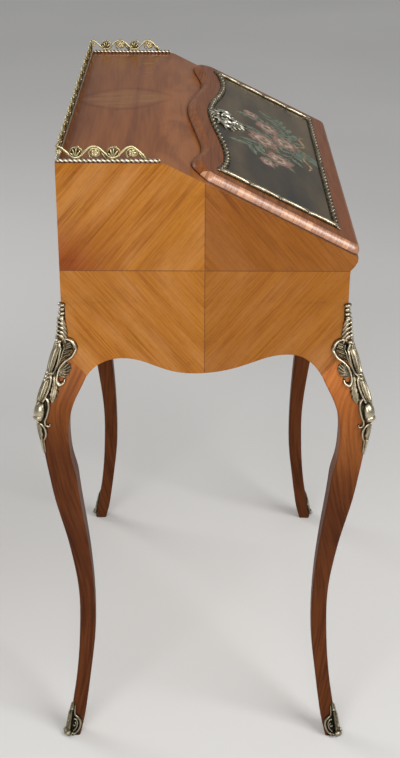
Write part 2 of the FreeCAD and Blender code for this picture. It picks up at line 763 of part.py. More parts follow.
def fall_blank():
    """The fall board in its own frame: X across, Y along the slope, Z off it."""
    right = [Vector(x, y, 0) for x, y in fall_top_edge()]
    spline = Part.BSplineCurve()
    spline.interpolate([Vector(-p.x, p.y, 0) for p in reversed(right[1:])] + right)
    end = right[-1]
    heading = spline.tangent(spline.LastParameter)[0]
    foot = Vector(half_width - named("fall_foot_inset"), 0, 0)
    lean = (named("fall_top_inset") - named("fall_foot_inset")) / fall_valley
    shoulder = end + heading * ((foot.x - lean * end.y - end.x) / (heading.x + lean * heading.y))
    upper = round_corner(shoulder, end, foot, named("fall_shoulder_radius"))
    lower = round_corner(foot, shoulder, Vector(0, 0, 0), named("fall_corner_radius"))

    def flip(points):
        return [Vector(-p.x, p.y, 0) for p in reversed(points)]

    edges = [spline.toShape(), Part.makeLine(end, upper[0]), Part.Arc(*upper).toShape(),
             Part.makeLine(upper[2], lower[0]), Part.Arc(*lower).toShape(),
             Part.makeLine(lower[2], flip(lower)[0]), Part.Arc(*flip(lower)).toShape(),
             Part.makeLine(flip(lower)[2], flip(upper)[0]), Part.Arc(*flip(upper)).toShape(),
             Part.makeLine(flip(upper)[2], flip(right)[0])]
    board = Part.Face(Part.Wire(edges)).extrude(Vector(0, 0, named("fall_thickness")))
    rim = [e for e in board.Edges if all(abs(v.Z - named("fall_thickness")) < TINY for v in e.Vertexes)]
    return board.makeFillet(float(named("fall_rounding")), rim)


moulding_reach = half_width - named("moulding_inset")


def moulding_top(x):
    """Outer line of the top moulding at a place across the fall."""
    valley_x = fall_valley_x + named("moulding_valley_shift")
    apex = fall_apex - named("moulding_apex_drop")
    valley = fall_valley - named("moulding_valley_drop")
    corner = fall_ear - named("moulding_corner_drop")
    x = abs(x)
    if x < valley_x:
        return valley + (apex - valley) * (1 + math.cos(math.pi * x / valley_x)) / 2
    t = min((x - valley_x) / (moulding_reach - valley_x), 1.0)
    return valley + (corner - valley) * t * t


def moulding_line(inset, level):
    """The frame's outline set in by a distance: its lower corners and points of its top run."""
    reach = moulding_reach - inset
    low = named("moulding_start") + inset
    across = [reach * share for share in (0, 0.14, 0.28, 0.42, 0.56, 0.70, 0.80, 0.90, 1.0)]
    right = [Vector(x, moulding_top(x) - inset, level) for x in across]
    top = [Vector(-p.x, p.y, level) for p in reversed(right[1:])] + right
    return Vector(-reach, low, level), Vector(reach, low, level), top


def field(inset, level, tall):
    """The area inside the frame's outline, set in by a distance, as a flat solid."""
    low_left, low_right, top = moulding_line(inset, level)
    boundary = Part.Wire([curve(top)] + polyline([top[-1], low_right, low_left, top[0]]))
    return Part.Face(boundary).extrude(Vector(0, 0, tall))


thickness = named("fall_thickness")
sheet_depth = named("sheet_thickness")
panel_inset = named("moulding_width") / 2
fit = named("fit_gap")


def moulding_run(kind):
    """One mitred run of the brass moulding, lying on the fall."""
    a_left, a_right, a_top = moulding_line(0, thickness)
    b_left, b_right, b_top = moulding_line(named("moulding_width"), thickness)
    if kind == "bottom":
        edges = polyline([a_left, a_right, b_right, b_left, a_left])
    elif kind == "right":
        edges = polyline([a_right, a_top[-1], b_top[-1], b_right, a_right])
    else:
        edges = [curve(a_top), Part.makeLine(a_top[-1], b_top[-1]), curve(b_top[::-1]),
                 Part.makeLine(b_top[0], a_top[0])]
    return Part.Face(Part.Wire(edges)).extrude(Vector(0, 0, named("moulding_height")))


def centred_box(x, y, z, wide, deep, tall):
    """A box about a place across and along the fall, standing on a level."""
    return Part.makeBox(wide, deep, tall, Vector(x - wide / 2, y - deep / 2, z))


lock_half = named("lock_width") / 2
key_along = fall_apex - named("keyhole_drop")
key_radius = named("keyhole_radius")
bolt_along = top_edge + named("staple_setback")
lock_low, lock_high = key_along - named("lock_margin"), bolt_along + named("lock_margin")
slot_height = named("staple_height") + 0.4
lock_depth = slot_height + named("lock_cover")
axis_radius = named("knuckle_radius")
screw_clearance = 0.03
knuckle_gap = 0.5
hinge_half = named("hinge_length") / 2
knuckle_split = hinge_half / 3
leaf_depth, leaf_thick = named("leaf_depth"), named("leaf_thickness")
hinge_places = (-named("hinge_place"), named("hinge_place"))


def hinge_barrel(radius, half_length, x):
    """A cylinder about the hinge axis, in the fall's frame."""
    return Part.makeCylinder(radius, 2 * half_length, Vector(x - half_length, 0, 0), Vector(1, 0, 0))


def leaf_bed(x):
    return Part.makeBox(2 * hinge_half, leaf_depth, leaf_thick, Vector(x - hinge_half, 0, 0))


def screw(at, down, clear=0.0):
    """Countersunk screw whose head is flush at a point and whose shank runs down."""
    head, shank = named("screw_head") + clear, named("screw_shank") + clear
    cone = Part.makeCone(head, shank, named("screw_sink"), at, down)
    rod = Part.makeCylinder(shank, named("screw_length") + clear, at, down)
    return cone.fuse(rod).removeSplitter()


def leaf_screws(off, down, clear=0.0):
    places = [(x + side * hinge_half * 0.62, leaf_depth * 0.62) for x in hinge_places for side in (-1, 1)]
    return [screw(Vector(x, y, off), down, clear) for x, y in places]


fall_recess = field(panel_inset, thickness - sheet_depth, sheet_depth)
leather_half = half_width - named("leather_inset")
leather_low, leather_high = named("leather_start"), lock_low - named("leather_stop")
leather_bed = Part.makeBox(2 * leather_half, leather_high - leather_low, sheet_depth,
                           Vector(-leather_half, leather_low, 0))
lock_bed = Part.makeBox(2 * lock_half, lock_high - lock_low, lock_depth, Vector(-lock_half, lock_low, 0))
key_hole = Part.makeCylinder(key_radius, thickness, Vector(0, key_along, lock_depth / 2), Vector(0, 0, 1))
fall_cuts = [fall_recess, leather_bed, lock_bed, key_hole]
fall_cuts += [hinge_barrel(axis_radius + knuckle_gap, hinge_half + knuckle_gap, x) for x in hinge_places]
fall_cuts += [leaf_bed(x) for x in hinge_places]
fall_cuts += leaf_screws(0, Vector(0, 0, 1), screw_clearance)
fall_board = fall_blank()
for tool in fall_cuts:
    fall_board = fall_board.cut(tool)
keep(shaped("fall_board", fall_board.removeSplitter(), FALL_FRAME), "fall_board")

picture = field(panel_inset + fit, thickness - sheet_depth, sheet_depth).cut(key_hole)
keep(shaped("fall_picture_panel", picture, FALL_FRAME), "fall_picture_panel")
for kind in ("bottom", "right", "top"):
    run = keep(shaped(f"fall_moulding_{kind}", moulding_run(kind), FALL_FRAME), f"fall_moulding_{kind}")
    if kind == "right":
        keep(mirrored("fall_moulding_left", run, Vector(1, 0, 0)), "fall_moulding_left")


def escutcheon_plate(half_across, low, high, thick):
    """A shield-shaped keyhole plate lying on Z = 0, its keyhole at the origin."""
    right = [Vector(0, high, 0), Vector(half_across * 0.55, high * 0.86, 0),
             Vector(half_across, high * 0.4, 0), Vector(half_across * 0.7, 0, 0),
             Vector(half_across * 0.85, low * 0.45, 0), Vector(0, low, 0)]
    rim = Part.Wire([curve(right), curve([Vector(-p.x, p.y, 0) for p in reversed(right)])])
    plate = Part.Face(rim).extrude(Vector(0, 0, thick))
    return plate.cut(Part.makeCylinder(key_radius, thick, Vector(0, 0, 0)))


plate_on_fall = FALL_FRAME.multiply(Placement(Vector(0, key_along, thickness), Rotation()))
keep(shaped("fall_escutcheon", escutcheon_plate(17, -27, 18, 3), plate_on_fall), "fall_escutcheon")

leather = Part.makeBox(2 * (leather_half - fit), leather_high - leather_low - 2 * fit, sheet_depth,
                       Vector(fit - leather_half, leather_low + fit, 0))
keep(shaped("fall_leather", leather, FALL_FRAME), "fall_leather")


# ---------------------------------------------------------------- hinges

def leaves(knuckles, bore_gap, plate_z):
    """Hinge leaves about the axis, from their knuckles' spans, bore and plate's underside."""
    start = axis_radius + gap + 0.4
    solids = []
    for x in hinge_places:
        plate_corner = Vector(x - hinge_half, start, plate_z)
        parts = [Part.makeBox(2 * hinge_half, leaf_depth - start, leaf_thick, plate_corner)]
        for low, high in knuckles:
            parts.append(Part.makeCylinder(axis_radius, high - low, Vector(x + low, 0, 0), Vector(1, 0, 0)))
            parts.append(Part.makeBox(high - low, start, leaf_thick, Vector(x + low, 0, plate_z)))
        leaf = parts[0].multiFuse(parts[1:]).removeSplitter()
        solids.append(leaf.cut(hinge_barrel(named("pin_radius") + bore_gap, hinge_half + 1, x)))
    return solids


def pierced(solids, tools):
    result = []
    for solid in solids:
        for tool in tools:
            solid = solid.cut(tool)
        result.append(solid)
    return result


outer_knuckles = ((-hinge_half, -knuckle_split), (knuckle_split, hinge_half))
middle_knuckle = ((-knuckle_split + gap, knuckle_split - gap),)
HINGE_LEVEL = Placement(Vector(0, hinge_y, hinge_z), Rotation())

turning_gap, tight_gap = 0.05, 0.01
UP, DOWN = Vector(0, 0, 1), Vector(0, 0, -1)
fall_leaves = pierced(leaves(middle_knuckle, turning_gap, 0.0), leaf_screws(0, UP, screw_clearance))
keep(shaped("hinge_leaves_fall", Part.makeCompound(fall_leaves), FALL_FRAME), "hinge_leaves_fall")
deck_face = -named("hinge_lift")
deck_leaves = pierced(leaves(outer_knuckles, tight_gap, deck_face - leaf_thick),
                      leaf_screws(deck_face, DOWN, screw_clearance))
keep(shaped("hinge_leaves_deck", Part.makeCompound(deck_leaves), HINGE_LEVEL), "hinge_leaves_deck")
pins = [hinge_barrel(named("pin_radius"), hinge_half, x) for x in hinge_places]
keep(shaped("hinge_pins", Part.makeCompound(pins), HINGE_LEVEL), "hinge_pins")
screws_up, screws_down = leaf_screws(0, UP), leaf_screws(deck_face, DOWN)
keep(shaped("hinge_screws_fall", Part.makeCompound(screws_up), FALL_FRAME), "hinge_screws_fall")
keep(shaped("hinge_screws_deck", Part.makeCompound(screws_down), HINGE_LEVEL), "hinge_screws_deck")

# ---------------------------------------------------------------- deck, cut for what sits in it

deck_leather_front = named("deck_leather_start") - half_depth
deck_leather_back = named("nest_front") - named("deck_leather_stop")
deck_bed = block("deck_leather_bed", (-leather_half, deck_leather_front, deck_top - sheet_depth),
                 (leather_half, deck_leather_back, deck_top + 1))
deck_tools = [hinge_barrel(axis_radius + knuckle_gap, hinge_half + knuckle_gap, x) for x in hinge_places]
deck_tools += [Part.makeBox(2 * hinge_half, leaf_depth, leaf_thick + 1,
                            Vector(x - hinge_half, 0, deck_face - leaf_thick)) for x in hinge_places]
deck_tools += leaf_screws(deck_face, DOWN, screw_clearance)
deck_hardware = shaped("deck_hardware", deck_tools[0].multiFuse(deck_tools[1:]), HINGE_LEVEL)
keep(cut("writing_deck", deck_body, deck_bed, deck_hardware, *deck_notches), "writing_deck")
deck_leather = block("deck_leather", (fit - leather_half, deck_leather_front + fit, deck_top - sheet_depth),
                     (leather_half - fit, deck_leather_back - fit, deck_top))
keep(deck_leather, "deck_leather")

# ---------------------------------------------------------------- fall lock

# The staple stands on the top board and enters the slot in the lock case. The
# bolt lies beside the staple's eye and slides through it.
staple_wide, staple_deep = named("staple_width"), named("staple_depth")
staple_air = 1.5
bolt = named("bolt_size")
bolt_base = (named("staple_height") - bolt) / 2
bolt_tip = -staple_wide / 2 - 1
bolt_play = 0.1
eye_play = 0.3
under_case = -FALL_BED

slot = centred_box(0, bolt_along, 0, 2 * named("bolt_throw"), staple_deep + 2 * staple_air, slot_height)
channel_end = bolt_tip + named("bolt_throw") + 1
channel_start = bolt_tip - named("bolt_length") - 1
channel = Part.makeBox(channel_end - channel_start, bolt + 2 * bolt_play, bolt + 2 * bolt_play,
                       Vector(channel_start, bolt_along - bolt / 2 - bolt_play, bolt_base - bolt_play))
key_slot = Part.makeCylinder(key_radius, lock_depth / 2, Vector(0, key_along, lock_depth / 2), UP)
lock_case = lock_bed.cut(slot).cut(channel).cut(key_slot)
keep(shaped("fall_lock_case", lock_case, FALL_FRAME), "fall_lock_case")
bolt_bar = Part.makeBox(named("bolt_length"), bolt, bolt,
                        Vector(bolt_tip - named("bolt_length"), bolt_along - bolt / 2, bolt_base))
keep(shaped("fall_lock_bolt", bolt_bar, FALL_FRAME), "fall_lock_bolt")

plate_wide, plate_deep = named("staple_plate_width"), named("staple_plate_depth")
staple_plate = centred_box(0, bolt_along, under_case - leaf_thick, plate_wide, plate_deep, leaf_thick)
staple_tall = named("staple_height") + FALL_BED
staple_post = centred_box(0, bolt_along, under_case, staple_wide, staple_deep, staple_tall)
staple_eye = centred_box(0, bolt_along, bolt_base - eye_play, 2 * staple_wide, bolt + 2 * eye_play,
                         bolt + 2 * eye_play)
staple = staple_plate.fuse(staple_post).cut(staple_eye).removeSplitter()
keep(shaped("fall_lock_staple", staple, FALL_FRAME), "fall_lock_staple")
staple_bed = centred_box(0, bolt_along, under_case - leaf_thick, plate_wide, plate_deep, leaf_thick + 1)
keep(cut("top_board", top_body, shaped("staple_bed", staple_bed, FALL_FRAME)), "top_board")

# ---------------------------------------------------------------- inside the case

post_edge_x, post_edge_y = inner_x - named("post_size"), inner_y - named("post_size")
dust_low = sill - named("deck_thickness")
dust_blank = block("dust_blank", (-inner_x, -inner_y, dust_low), (inner_x, inner_y, sill))
post_spans = [((-inner_x - 1, -post_edge_x), (post_edge_x, inner_x + 1)),
              ((-inner_y - 1, -post_edge_y), (post_edge_y, inner_y + 1))]
post_notches = [block(f"post_notch_{i}{j}", (x0, y0, sill - BEYOND), (x1, y1, sill + 1))
                for i, (x0, x1) in enumerate(post_spans[0]) for j, (y0, y1) in enumerate(post_spans[1])]
keep(cut("dust_board", dust_blank, *post_notches), "dust_board")

front_back = named("drawer_front_thickness") - half_depth
drawer_half = opening_half - named("drawer_gap")
side_outer = drawer_half - named("drawer_side_inset")
guide_inner = side_outer + gap
guide_width = named("guide_width")
guide_start = front_back + gap
guide_length = post_edge_y - guide_start
guides = [Part.makeBox(guide_width, guide_length, named("guide_height"), Vector(x, guide_start, sill))
          for x in (guide_inner, -guide_inner - guide_width)]
keep(group("drawer_guides", guides), "drawer_guides")


def loper_housing():
    """Floor and wall under and beside a loper, on the right."""
    wall, floor = named("housing_wall"), named("housing_floor")
    x0 = loper_inner - gap - wall
    z0 = loper_base - gap
    base = Part.makeBox(inner_x - x0, 2 * inner_y, floor, Vector(x0, -inner_y, z0 - floor))
    upright = Part.makeBox(wall, 2 * inner_y, deck_under - z0, Vector(x0, -inner_y, z0))
    return base.fuse(upright).removeSplitter()


housing = loper_housing()
keep(group("loper_housings", [housing, housing.mirror(Vector(0, 0, 0), Vector(1, 0, 0))]), "loper_housings")

# Turned pulls, from the foot outwards: radius, then distance from the face they
# stand on. A loper's is a low button, undercut for a fingernail, so that it stays
# behind the nose. The nest's small drawers have knobs.
LOPER_BUTTON = ((0.0, 0.0), (4.5, 0.0), (4.5, 0.8), (6.5, 1.6), (6.5, 2.6), (4.0, 3.2), (0.0, 3.2))
SMALL_KNOB = ((0.0, 0.0), (2.6, 0.0), (2.6, 2.4), (1.9, 4.0),
              (4.5, 6.8), (4.8, 8.8), (3.5, 11.2), (0.0, 12.0))
FORWARD = Rotation(Vector(1, 0, 0), 90)

loper_top = loper_base + named("loper_height")
loper_end = inner_y - named("loper_play")
loper_outer = inner_x - gap
for side, near, far in (("left", -loper_outer, -loper_inner), ("right", loper_inner, loper_outer)):
    loper = block(f"loper_{side}", (near, -half_depth, loper_base), (far, loper_end, loper_top))
    keep(loper, f"loper_{side}")
    middle = Vector((near + far) / 2, -half_depth, (loper_base + loper_top) / 2)
    keep(turned(f"loper_knob_{side}", LOPER_BUTTON, Placement(middle, FORWARD)), f"loper_knob_{side}")

# ---------------------------------------------------------------- frieze drawer

front_low, front_high = sill + named("drawer_gap"), opening_top - named("drawer_gap")
drawer_bed = sill + gap
side_wall = named("drawer_side_thickness")
side_high = named("drawer_side_height")
drawer_end = inner_y - named("drawer_play")
bottom_low = drawer_bed + named("drawer_bottom_rise")
bottom_high = bottom_low + named("drawer_bottom_thickness")
handle_z = (front_low + front_high) / 2
key_z = handle_z + named("drawer_key_lift")

front_corners = [(-drawer_half, front_low), (drawer_half, front_low),
                 (drawer_half, front_high), (-drawer_half, front_high)]
front_thickness = named("drawer_front_thickness")
front_body, front_pad = padded("drawer_front_body", "XZ_Plane", front_corners, front_thickness)
front_body.setExpression("Placement.Base.y", formula_of(front_back))
BACK = Vector(0, 1, 0)
through_front = Part.makeCylinder(key_radius, 2 * BEYOND, Vector(0, -half_depth - BEYOND, key_z), BACK)
keep(cut("drawer_front", front_body, shaped("drawer_key_hole", through_front)), "drawer_front")

inside = side_outer - side_wall
side_boards = [Part.makeBox(side_wall, drawer_end - front_back, side_high, Vector(x, front_back, drawer_bed))
               for x in (inside, -side_outer)]
keep(group("drawer_sides", side_boards), "drawer_sides")
keep(block("drawer_bottom", (-inside, front_back, bottom_low), (inside, drawer_end, bottom_high)),
     "drawer_bottom")
keep(block("drawer_back", (-inside, drawer_end - side_wall, bottom_high),
           (inside, drawer_end, drawer_bed + side_high)), "drawer_back")
keep(shaped("drawer_escutcheon", escutcheon_plate(13, -24, 20, 2),
            Placement(Vector(0, -half_depth, key_z), FORWARD)), "drawer_escutcheon")
lock_wide, lock_tall, lock_back = (named("drawer_lock_" + side) for side in ("width", "height", "depth"))
lock_corner = Vector(-lock_wide / 2, front_back, key_z - lock_tall / 2)
drawer_lock = Part.makeBox(lock_wide, lock_back, lock_tall, lock_corner)
key_bore = Part.makeCylinder(key_radius, lock_back / 2, Vector(0, front_back, key_z), BACK)
keep(shaped("drawer_lock", drawer_lock.cut(key_bore)), "drawer_lock")

bail_reach, bail_rod = named("bail_reach"), named("bail_rod")
pivot_radius = named("bail_pivot")
post_spread = named("handle_post_spread")
stem_radius = named("handle_post_radius")
pivot_y = -half_depth - named("bail_offset")
pivot_play = 0.06


def handle_post(x):
    """A turned post with its rosette, pierced for the bail's pivot."""
    at = Vector(x, -half_depth, handle_z)
    rosette = Part.makeCylinder(named("rosette_radius"), named("rosette_thickness"), at, Vector(0, -1, 0))
    stem = Part.makeCylinder(stem_radius, named("bail_offset") + stem_radius, at, Vector(0, -1, 0))
    hole = Part.makeCylinder(pivot_radius + pivot_play, 4 * stem_radius,
                             Vector(x - 2 * stem_radius, pivot_y, handle_z), Vector(1, 0, 0))
    return rosette.fuse(stem).cut(hole)


def bail(x):
    """A drawer bail hanging at rest: half a ring and its two pivots."""
    centre = Vector(x, pivot_y, handle_z)
    ring = Part.makeTorus(bail_reach, bail_rod, centre, Vector(0, 1, 0))
    ring = ring.common(Part.makeBox(2 * BEYOND, 2 * BEYOND, BEYOND, centre - Vector(BEYOND, BEYOND, BEYOND)))
    ends = [(centre + Vector(sign * bail_reach, 0, 0), Vector(sign, 0, 0)) for sign in (-1, 1)]
    pivots = [Part.makeCylinder(pivot_radius, post_spread + 2, end, outward) for end, outward in ends]
    balls = [Part.makeSphere(bail_rod, end) for end, outward in ends]
    return ring.multiFuse(pivots + balls).removeSplitter()


handle_posts = []
for side, sign in (("left", -1), ("right", 1)):
    place = sign * named("handle_reach")
    handle_posts += [handle_post(place + turn * (bail_reach + post_spread)) for turn in (-1, 1)]
    keep(shaped(f"drawer_bail_{side}", bail(place)), f"drawer_bail_{side}")
keep(group("drawer_handle_posts", handle_posts), "drawer_handle_posts")

# ---------------------------------------------------------------- inner nest

nest_front, nest_board = named("nest_front"), named("nest_board")
nest_bay = named("nest_drawer_height")
shelf_low = deck_top + nest_bay
shelf_high = shelf_low + nest_board
keep(block("nest_shelf", (-inner_x, nest_front, shelf_low), (inner_x, inner_y, shelf_high)), "nest_shelf")
reach = named("nest_divider_reach")
dividers = []
for low, tall in ((deck_top, nest_bay), (shelf_high, top_under - shelf_high)):
    for x in (-reach - nest_board / 2, reach - nest_board / 2):
        dividers.append(Part.makeBox(nest_board, inner_y - nest_front, tall, Vector(x, nest_front, low)))
keep(group("nest_dividers", dividers), "nest_dividers")


def small_drawer():
    """A small drawer of the nest, on the right."""
    wall = named("nest_drawer_wall")
    x0, x1 = reach + nest_board / 2 + gap, inner_x - gap
    z0, z1 = deck_top + gap, shelf_low - 2 * gap
    depth = inner_y - nest_front - named("nest_drawer_play")
    body = Part.makeBox(x1 - x0, depth, z1 - z0, Vector(x0, nest_front, z0))
    hollow = Part.makeBox(x1 - x0 - 2 * wall, depth - 2 * wall, z1 - z0,
                          Vector(x0 + wall, nest_front + wall, z0 + named("nest_drawer_floor")))
    return body.cut(hollow)


right_small = keep(shaped("small_drawer_right", small_drawer()), "small_drawer_right")
keep(mirrored("small_drawer_left", right_small, Vector(1, 0, 0)), "small_drawer_left")
for side, sign in (("left", -1), ("right", 1)):
    middle = Vector(sign * (reach + inner_x) / 2, nest_front, deck_top + nest_bay / 2)
    keep(turned(f"small_knob_{side}", SMALL_KNOB, Placement(middle, FORWARD)), f"small_knob_{side}")

# ---------------------------------------------------------------- check and write

doc.recompute()
faults = [f"{thing.Label}: {thing.State}" for thing in doc.Objects
          if "Invalid" in thing.State or "Error" in thing.State]
for thing in NODES:
    if thing.Shape.isNull() or not thing.Shape.isValid() or not thing.Shape.Solids:
        faults.append(f"{thing.Label}: bad shape")
if faults:
    raise RuntimeError("; ".join(faults))

os.makedirs("parts", exist_ok=True)
for thing in NODES:
    thing.Shape.exportStep(os.path.join("parts", thing.Label + ".step"))
    box = thing.Shape.BoundBox
    print(f"{thing.Label:24s} solids {len(thing.Shape.Solids)}  volume {thing.Shape.Volume / 1000:9.2f} cm3"
          f"  x {box.XMin:7.1f} {box.XMax:7.1f}  y {box.YMin:7.1f} {box.YMax:7.1f}"
          f"  z {box.ZMin:6.1f} {box.ZMax:6.1f}")
print(len(NODES), "pieces")
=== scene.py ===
# %% [markdown]
# # A lady's slant-fall writing desk
# The desk's joinery comes ready made: panels, legs, hinges, drawers and lock are
# loaded as a fixed frame of named nodes. This script gives them their woods and
# polishes and builds the cast and chased brass, which is too fine for a plain
# solid. Everything is in metres, in the frame's own coordinates, so a mount is
# placed straight from the desk's sizes.

# %% The frame
import json
import math
import random

import bmesh
import bpy
from mathutils import Matrix, Vector
from mathutils.bvhtree import BVHTree


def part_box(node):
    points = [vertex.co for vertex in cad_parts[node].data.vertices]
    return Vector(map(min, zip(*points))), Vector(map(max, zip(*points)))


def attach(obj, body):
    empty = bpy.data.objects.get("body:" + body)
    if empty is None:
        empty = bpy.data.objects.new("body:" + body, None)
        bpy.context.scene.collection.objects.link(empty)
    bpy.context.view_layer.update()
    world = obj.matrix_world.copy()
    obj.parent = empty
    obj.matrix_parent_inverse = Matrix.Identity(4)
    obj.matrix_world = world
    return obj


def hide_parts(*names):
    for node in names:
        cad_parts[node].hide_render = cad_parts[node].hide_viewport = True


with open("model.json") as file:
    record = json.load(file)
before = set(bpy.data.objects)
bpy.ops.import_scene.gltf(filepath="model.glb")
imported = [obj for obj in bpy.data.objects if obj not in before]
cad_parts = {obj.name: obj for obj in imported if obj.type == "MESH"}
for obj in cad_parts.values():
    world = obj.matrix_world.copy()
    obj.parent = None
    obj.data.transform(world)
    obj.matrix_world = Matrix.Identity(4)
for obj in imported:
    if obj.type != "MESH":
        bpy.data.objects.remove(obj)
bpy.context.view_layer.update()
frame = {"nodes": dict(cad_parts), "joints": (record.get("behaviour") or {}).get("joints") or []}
nodes = frame["nodes"]
MM = 0.001
UP = Vector((0, 0, 1))

# %% [markdown]
# ## Where things are
# The case is a box with a sloping front. Its half width, its depth and its two
# levels are read from the nodes that carry them. The fall turns on the hinge
# axis, so its own directions, across, up the slope and off it, are worked out
# from the hinge and the slope.

# %% Sizes of the desk
half_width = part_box("top_board")[1][0]
half_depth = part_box("top_board")[1][1]
top_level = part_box("top_board")[1][2]
deck_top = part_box("writing_deck")[1][2]
nose_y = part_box("writing_deck")[0][1]
hinge = next(Vector(joint["pos_m"]) for joint in frame["joints"] if joint["name"] == "fall_hinge")
BREAK_Y = 55 * MM
slope = math.atan2(top_level - deck_top, BREAK_Y - nose_y)
FALL_THICKNESS = 12 * MM
ALONG = Vector((0, math.cos(slope), math.sin(slope)))
OFF = Vector((0, -math.sin(slope), math.cos(slope)))


def on_fall(across, along, off):
    """Point of the closed fall: across, up the slope from the hinge, off its underside."""
    return hinge + Vector((across, 0, 0)) + ALONG * along + OFF * off


print(
    "case", round(2 * half_width, 3), "x", round(2 * half_depth, 3), "slope",
    round(math.degrees(slope), 2))

# %% [markdown]
# ## Camera
# The desk is seen from its left side and from well above, with a fairly long
# lens, so its uprights lean together only a little. A camera looks along its own
# -Z; turned up by 90 degrees less the pitch and then a quarter turn, it looks
# along +X and down.

# %% Camera
EYE = Vector((-2.0917, 0.0062, 1.4941))
PITCH = math.radians(26.12)
ROLL = math.radians(0.17)
camera_data = bpy.data.cameras.new("camera")
camera_data.sensor_fit = "VERTICAL"
camera_data.sensor_height = 36
camera_data.lens = 65.4
camera_data.shift_y = 0.0037
camera = bpy.data.objects.new("camera", camera_data)
turned = Matrix.Rotation(-math.pi / 2, 4, "Z") @ Matrix.Rotation(math.pi / 2 - PITCH, 4, "X")
camera.matrix_world = Matrix.Translation(EYE) @ turned @ Matrix.Rotation(ROLL, 4, "Z")
bpy.context.scene.collection.objects.link(camera)
bpy.context.scene.camera = camera
print("camera at", tuple(round(c, 3) for c in EYE))

# %% [markdown]
# ## Writing materials as sums
# Blender's shaders are graphs of nodes. Wiring them one by one is slow to read,
# so a small class wraps a socket and turns +, -, * and / into Math nodes. A
# finish then reads like the formula that it is.

# %% Shader maths
def math_node(operation):
    """An operator that adds one Math node."""
    return lambda self, *others: self.join(operation, self, *others)


class Field:
    """A number that varies over a surface: a socket that can be used in sums."""

    def __init__(self, finish, socket):
        self.finish = finish
        self.socket = socket

    def join(self, operation, *values, clamp=False):
        settings = {"operation": operation, "use_clamp": clamp}
        made = self.finish.node("ShaderNodeMath", settings, dict(enumerate(values)))
        return Field(self.finish, made.outputs[0])

    __add__ = __radd__ = math_node("ADD")
    __mul__ = __rmul__ = math_node("MULTIPLY")
    __sub__, __truediv__, __pow__ = map(math_node, ("SUBTRACT", "DIVIDE", "POWER"))
    __lt__, __gt__, __abs__ = map(math_node, ("LESS_THAN", "GREATER_THAN", "ABSOLUTE"))
    floor, fraction = map(math_node, ("FLOOR", "FRACT"))

    def __rsub__(self, other):
        return self.join("SUBTRACT", other, self)

    def held(self):
        """The same number, kept between 0 and 1."""
        return self.join("ADD", self, 0.0, clamp=True)


print("sums of sockets ready")

# %% [markdown]
# ## A finish
# One class holds a material and makes its nodes. Settings such as an operation
# or a ramp's stops are set first, because they can change which sockets a node
# has. Patterns are laid out in the desk's own metres (Object coordinates), so a
# figure runs on from one panel to the next and keeps its real size.

# %% Finish
class Finish:
    """A named material, with the means to wire it."""

    def __init__(self, name):
        self.material = bpy.data.materials.new(name)
        self.material.use_nodes = True
        self.tree = self.material.node_tree
        self.tree.nodes.clear()
        self.place = self.node("ShaderNodeTexCoord", {}, {}).outputs["Object"]
        parts = self.node("ShaderNodeSeparateXYZ", {}, {"Vector": self.place})
        self.x, self.y, self.z = (Field(self, parts.outputs[axis]) for axis in "XYZ")

    def node(self, kind, settings, sockets):
        made = self.tree.nodes.new(kind)
        for name, value in settings.items():
            if name == "stops":
                self.set_stops(made.color_ramp, value)
            else:
                setattr(made, name, value)
        for name, value in sockets.items():
            self.feed(made.inputs[name], value)
        return made

    def feed(self, socket, value):
        if isinstance(value, Field):
            value = value.socket
        if isinstance(value, bpy.types.NodeSocket):
            self.tree.links.new(value, socket)
        else:
            socket.default_value = value

    @staticmethod
    def set_stops(ramp, stops):
        while len(ramp.elements) < len(stops):
            ramp.elements.new(0.5)
        for element, (position, colour) in zip(ramp.elements, stops):
            element.position = position
            element.color = (*colour, 1)

    def noise(self, place, scale=1.0, detail=3.0, roughness=0.55, distortion=0.0):
        """Noise at a place: a socket, or a tuple of fields and numbers."""
        if isinstance(place, tuple):
            place = self.node("ShaderNodeCombineXYZ", {}, dict(enumerate(place))).outputs[0]
        sockets = {
            "Vector": place, "Scale": scale, "Detail": detail, "Roughness": roughness,
            "Distortion": distortion}
        return Field(self, self.node("ShaderNodeTexNoise", {}, sockets).outputs[0])

    def hollow(self):
        """How deep a casting's vertex lies in its relief, from 0 to 1."""
        settings = {"attribute_name": "hollow"}
        return Field(self, self.node("ShaderNodeAttribute", settings, {}).outputs["Fac"])

    def cells(self, scale):
        """Distance to the nearest of many scattered points."""
        sockets = {"Vector": self.place, "Scale": scale}
        return Field(self, self.node("ShaderNodeTexVoronoi", {}, sockets).outputs[0])

    def ramp(self, field, stops):
        return self.node("ShaderNodeValToRGB", {"stops": stops}, {"Fac": field}).outputs[0]

    def blend(self, share, first, second, how="MIX"):
        """Two colours mixed by a share."""
        settings = {"data_type": "RGBA", "blend_type": how}
        colours = [(*c, 1) if isinstance(c, tuple) else c for c in (first, second)]
        return self.node(
            "ShaderNodeMix", settings, {0: share, 6: colours[0], 7: colours[1]}).outputs[2]

    def glazed(self, colour, *glazes):
        """A colour with others laid over it in turn: share, tint and how it is mixed."""
        for share, *tint in glazes:
            colour = self.blend(share, colour, *tint)
        return colour

    def bump(self, height, depth):
        sockets = {"Height": height, "Strength": 1.0, "Distance": depth}
        return self.node("ShaderNodeBump", {}, sockets).outputs[0]

    def surface(self, **sockets):
        """The shader itself, and the material's output. Underscores stand for spaces."""
        values = {name.replace("_", " "): value for name, value in sockets.items()}
        shader = self.node("ShaderNodeBsdfPrincipled", {}, values)
        self.node("ShaderNodeOutputMaterial", {}, {"Surface": shader.outputs[0]})
        return self.material


def dress(names, material):
    """Give CAD nodes their finish."""
    for name in names:
        slots = nodes[name].data.materials
        slots.clear()
        slots.append(material)
    print(material.name, "on", len(names), "nodes")


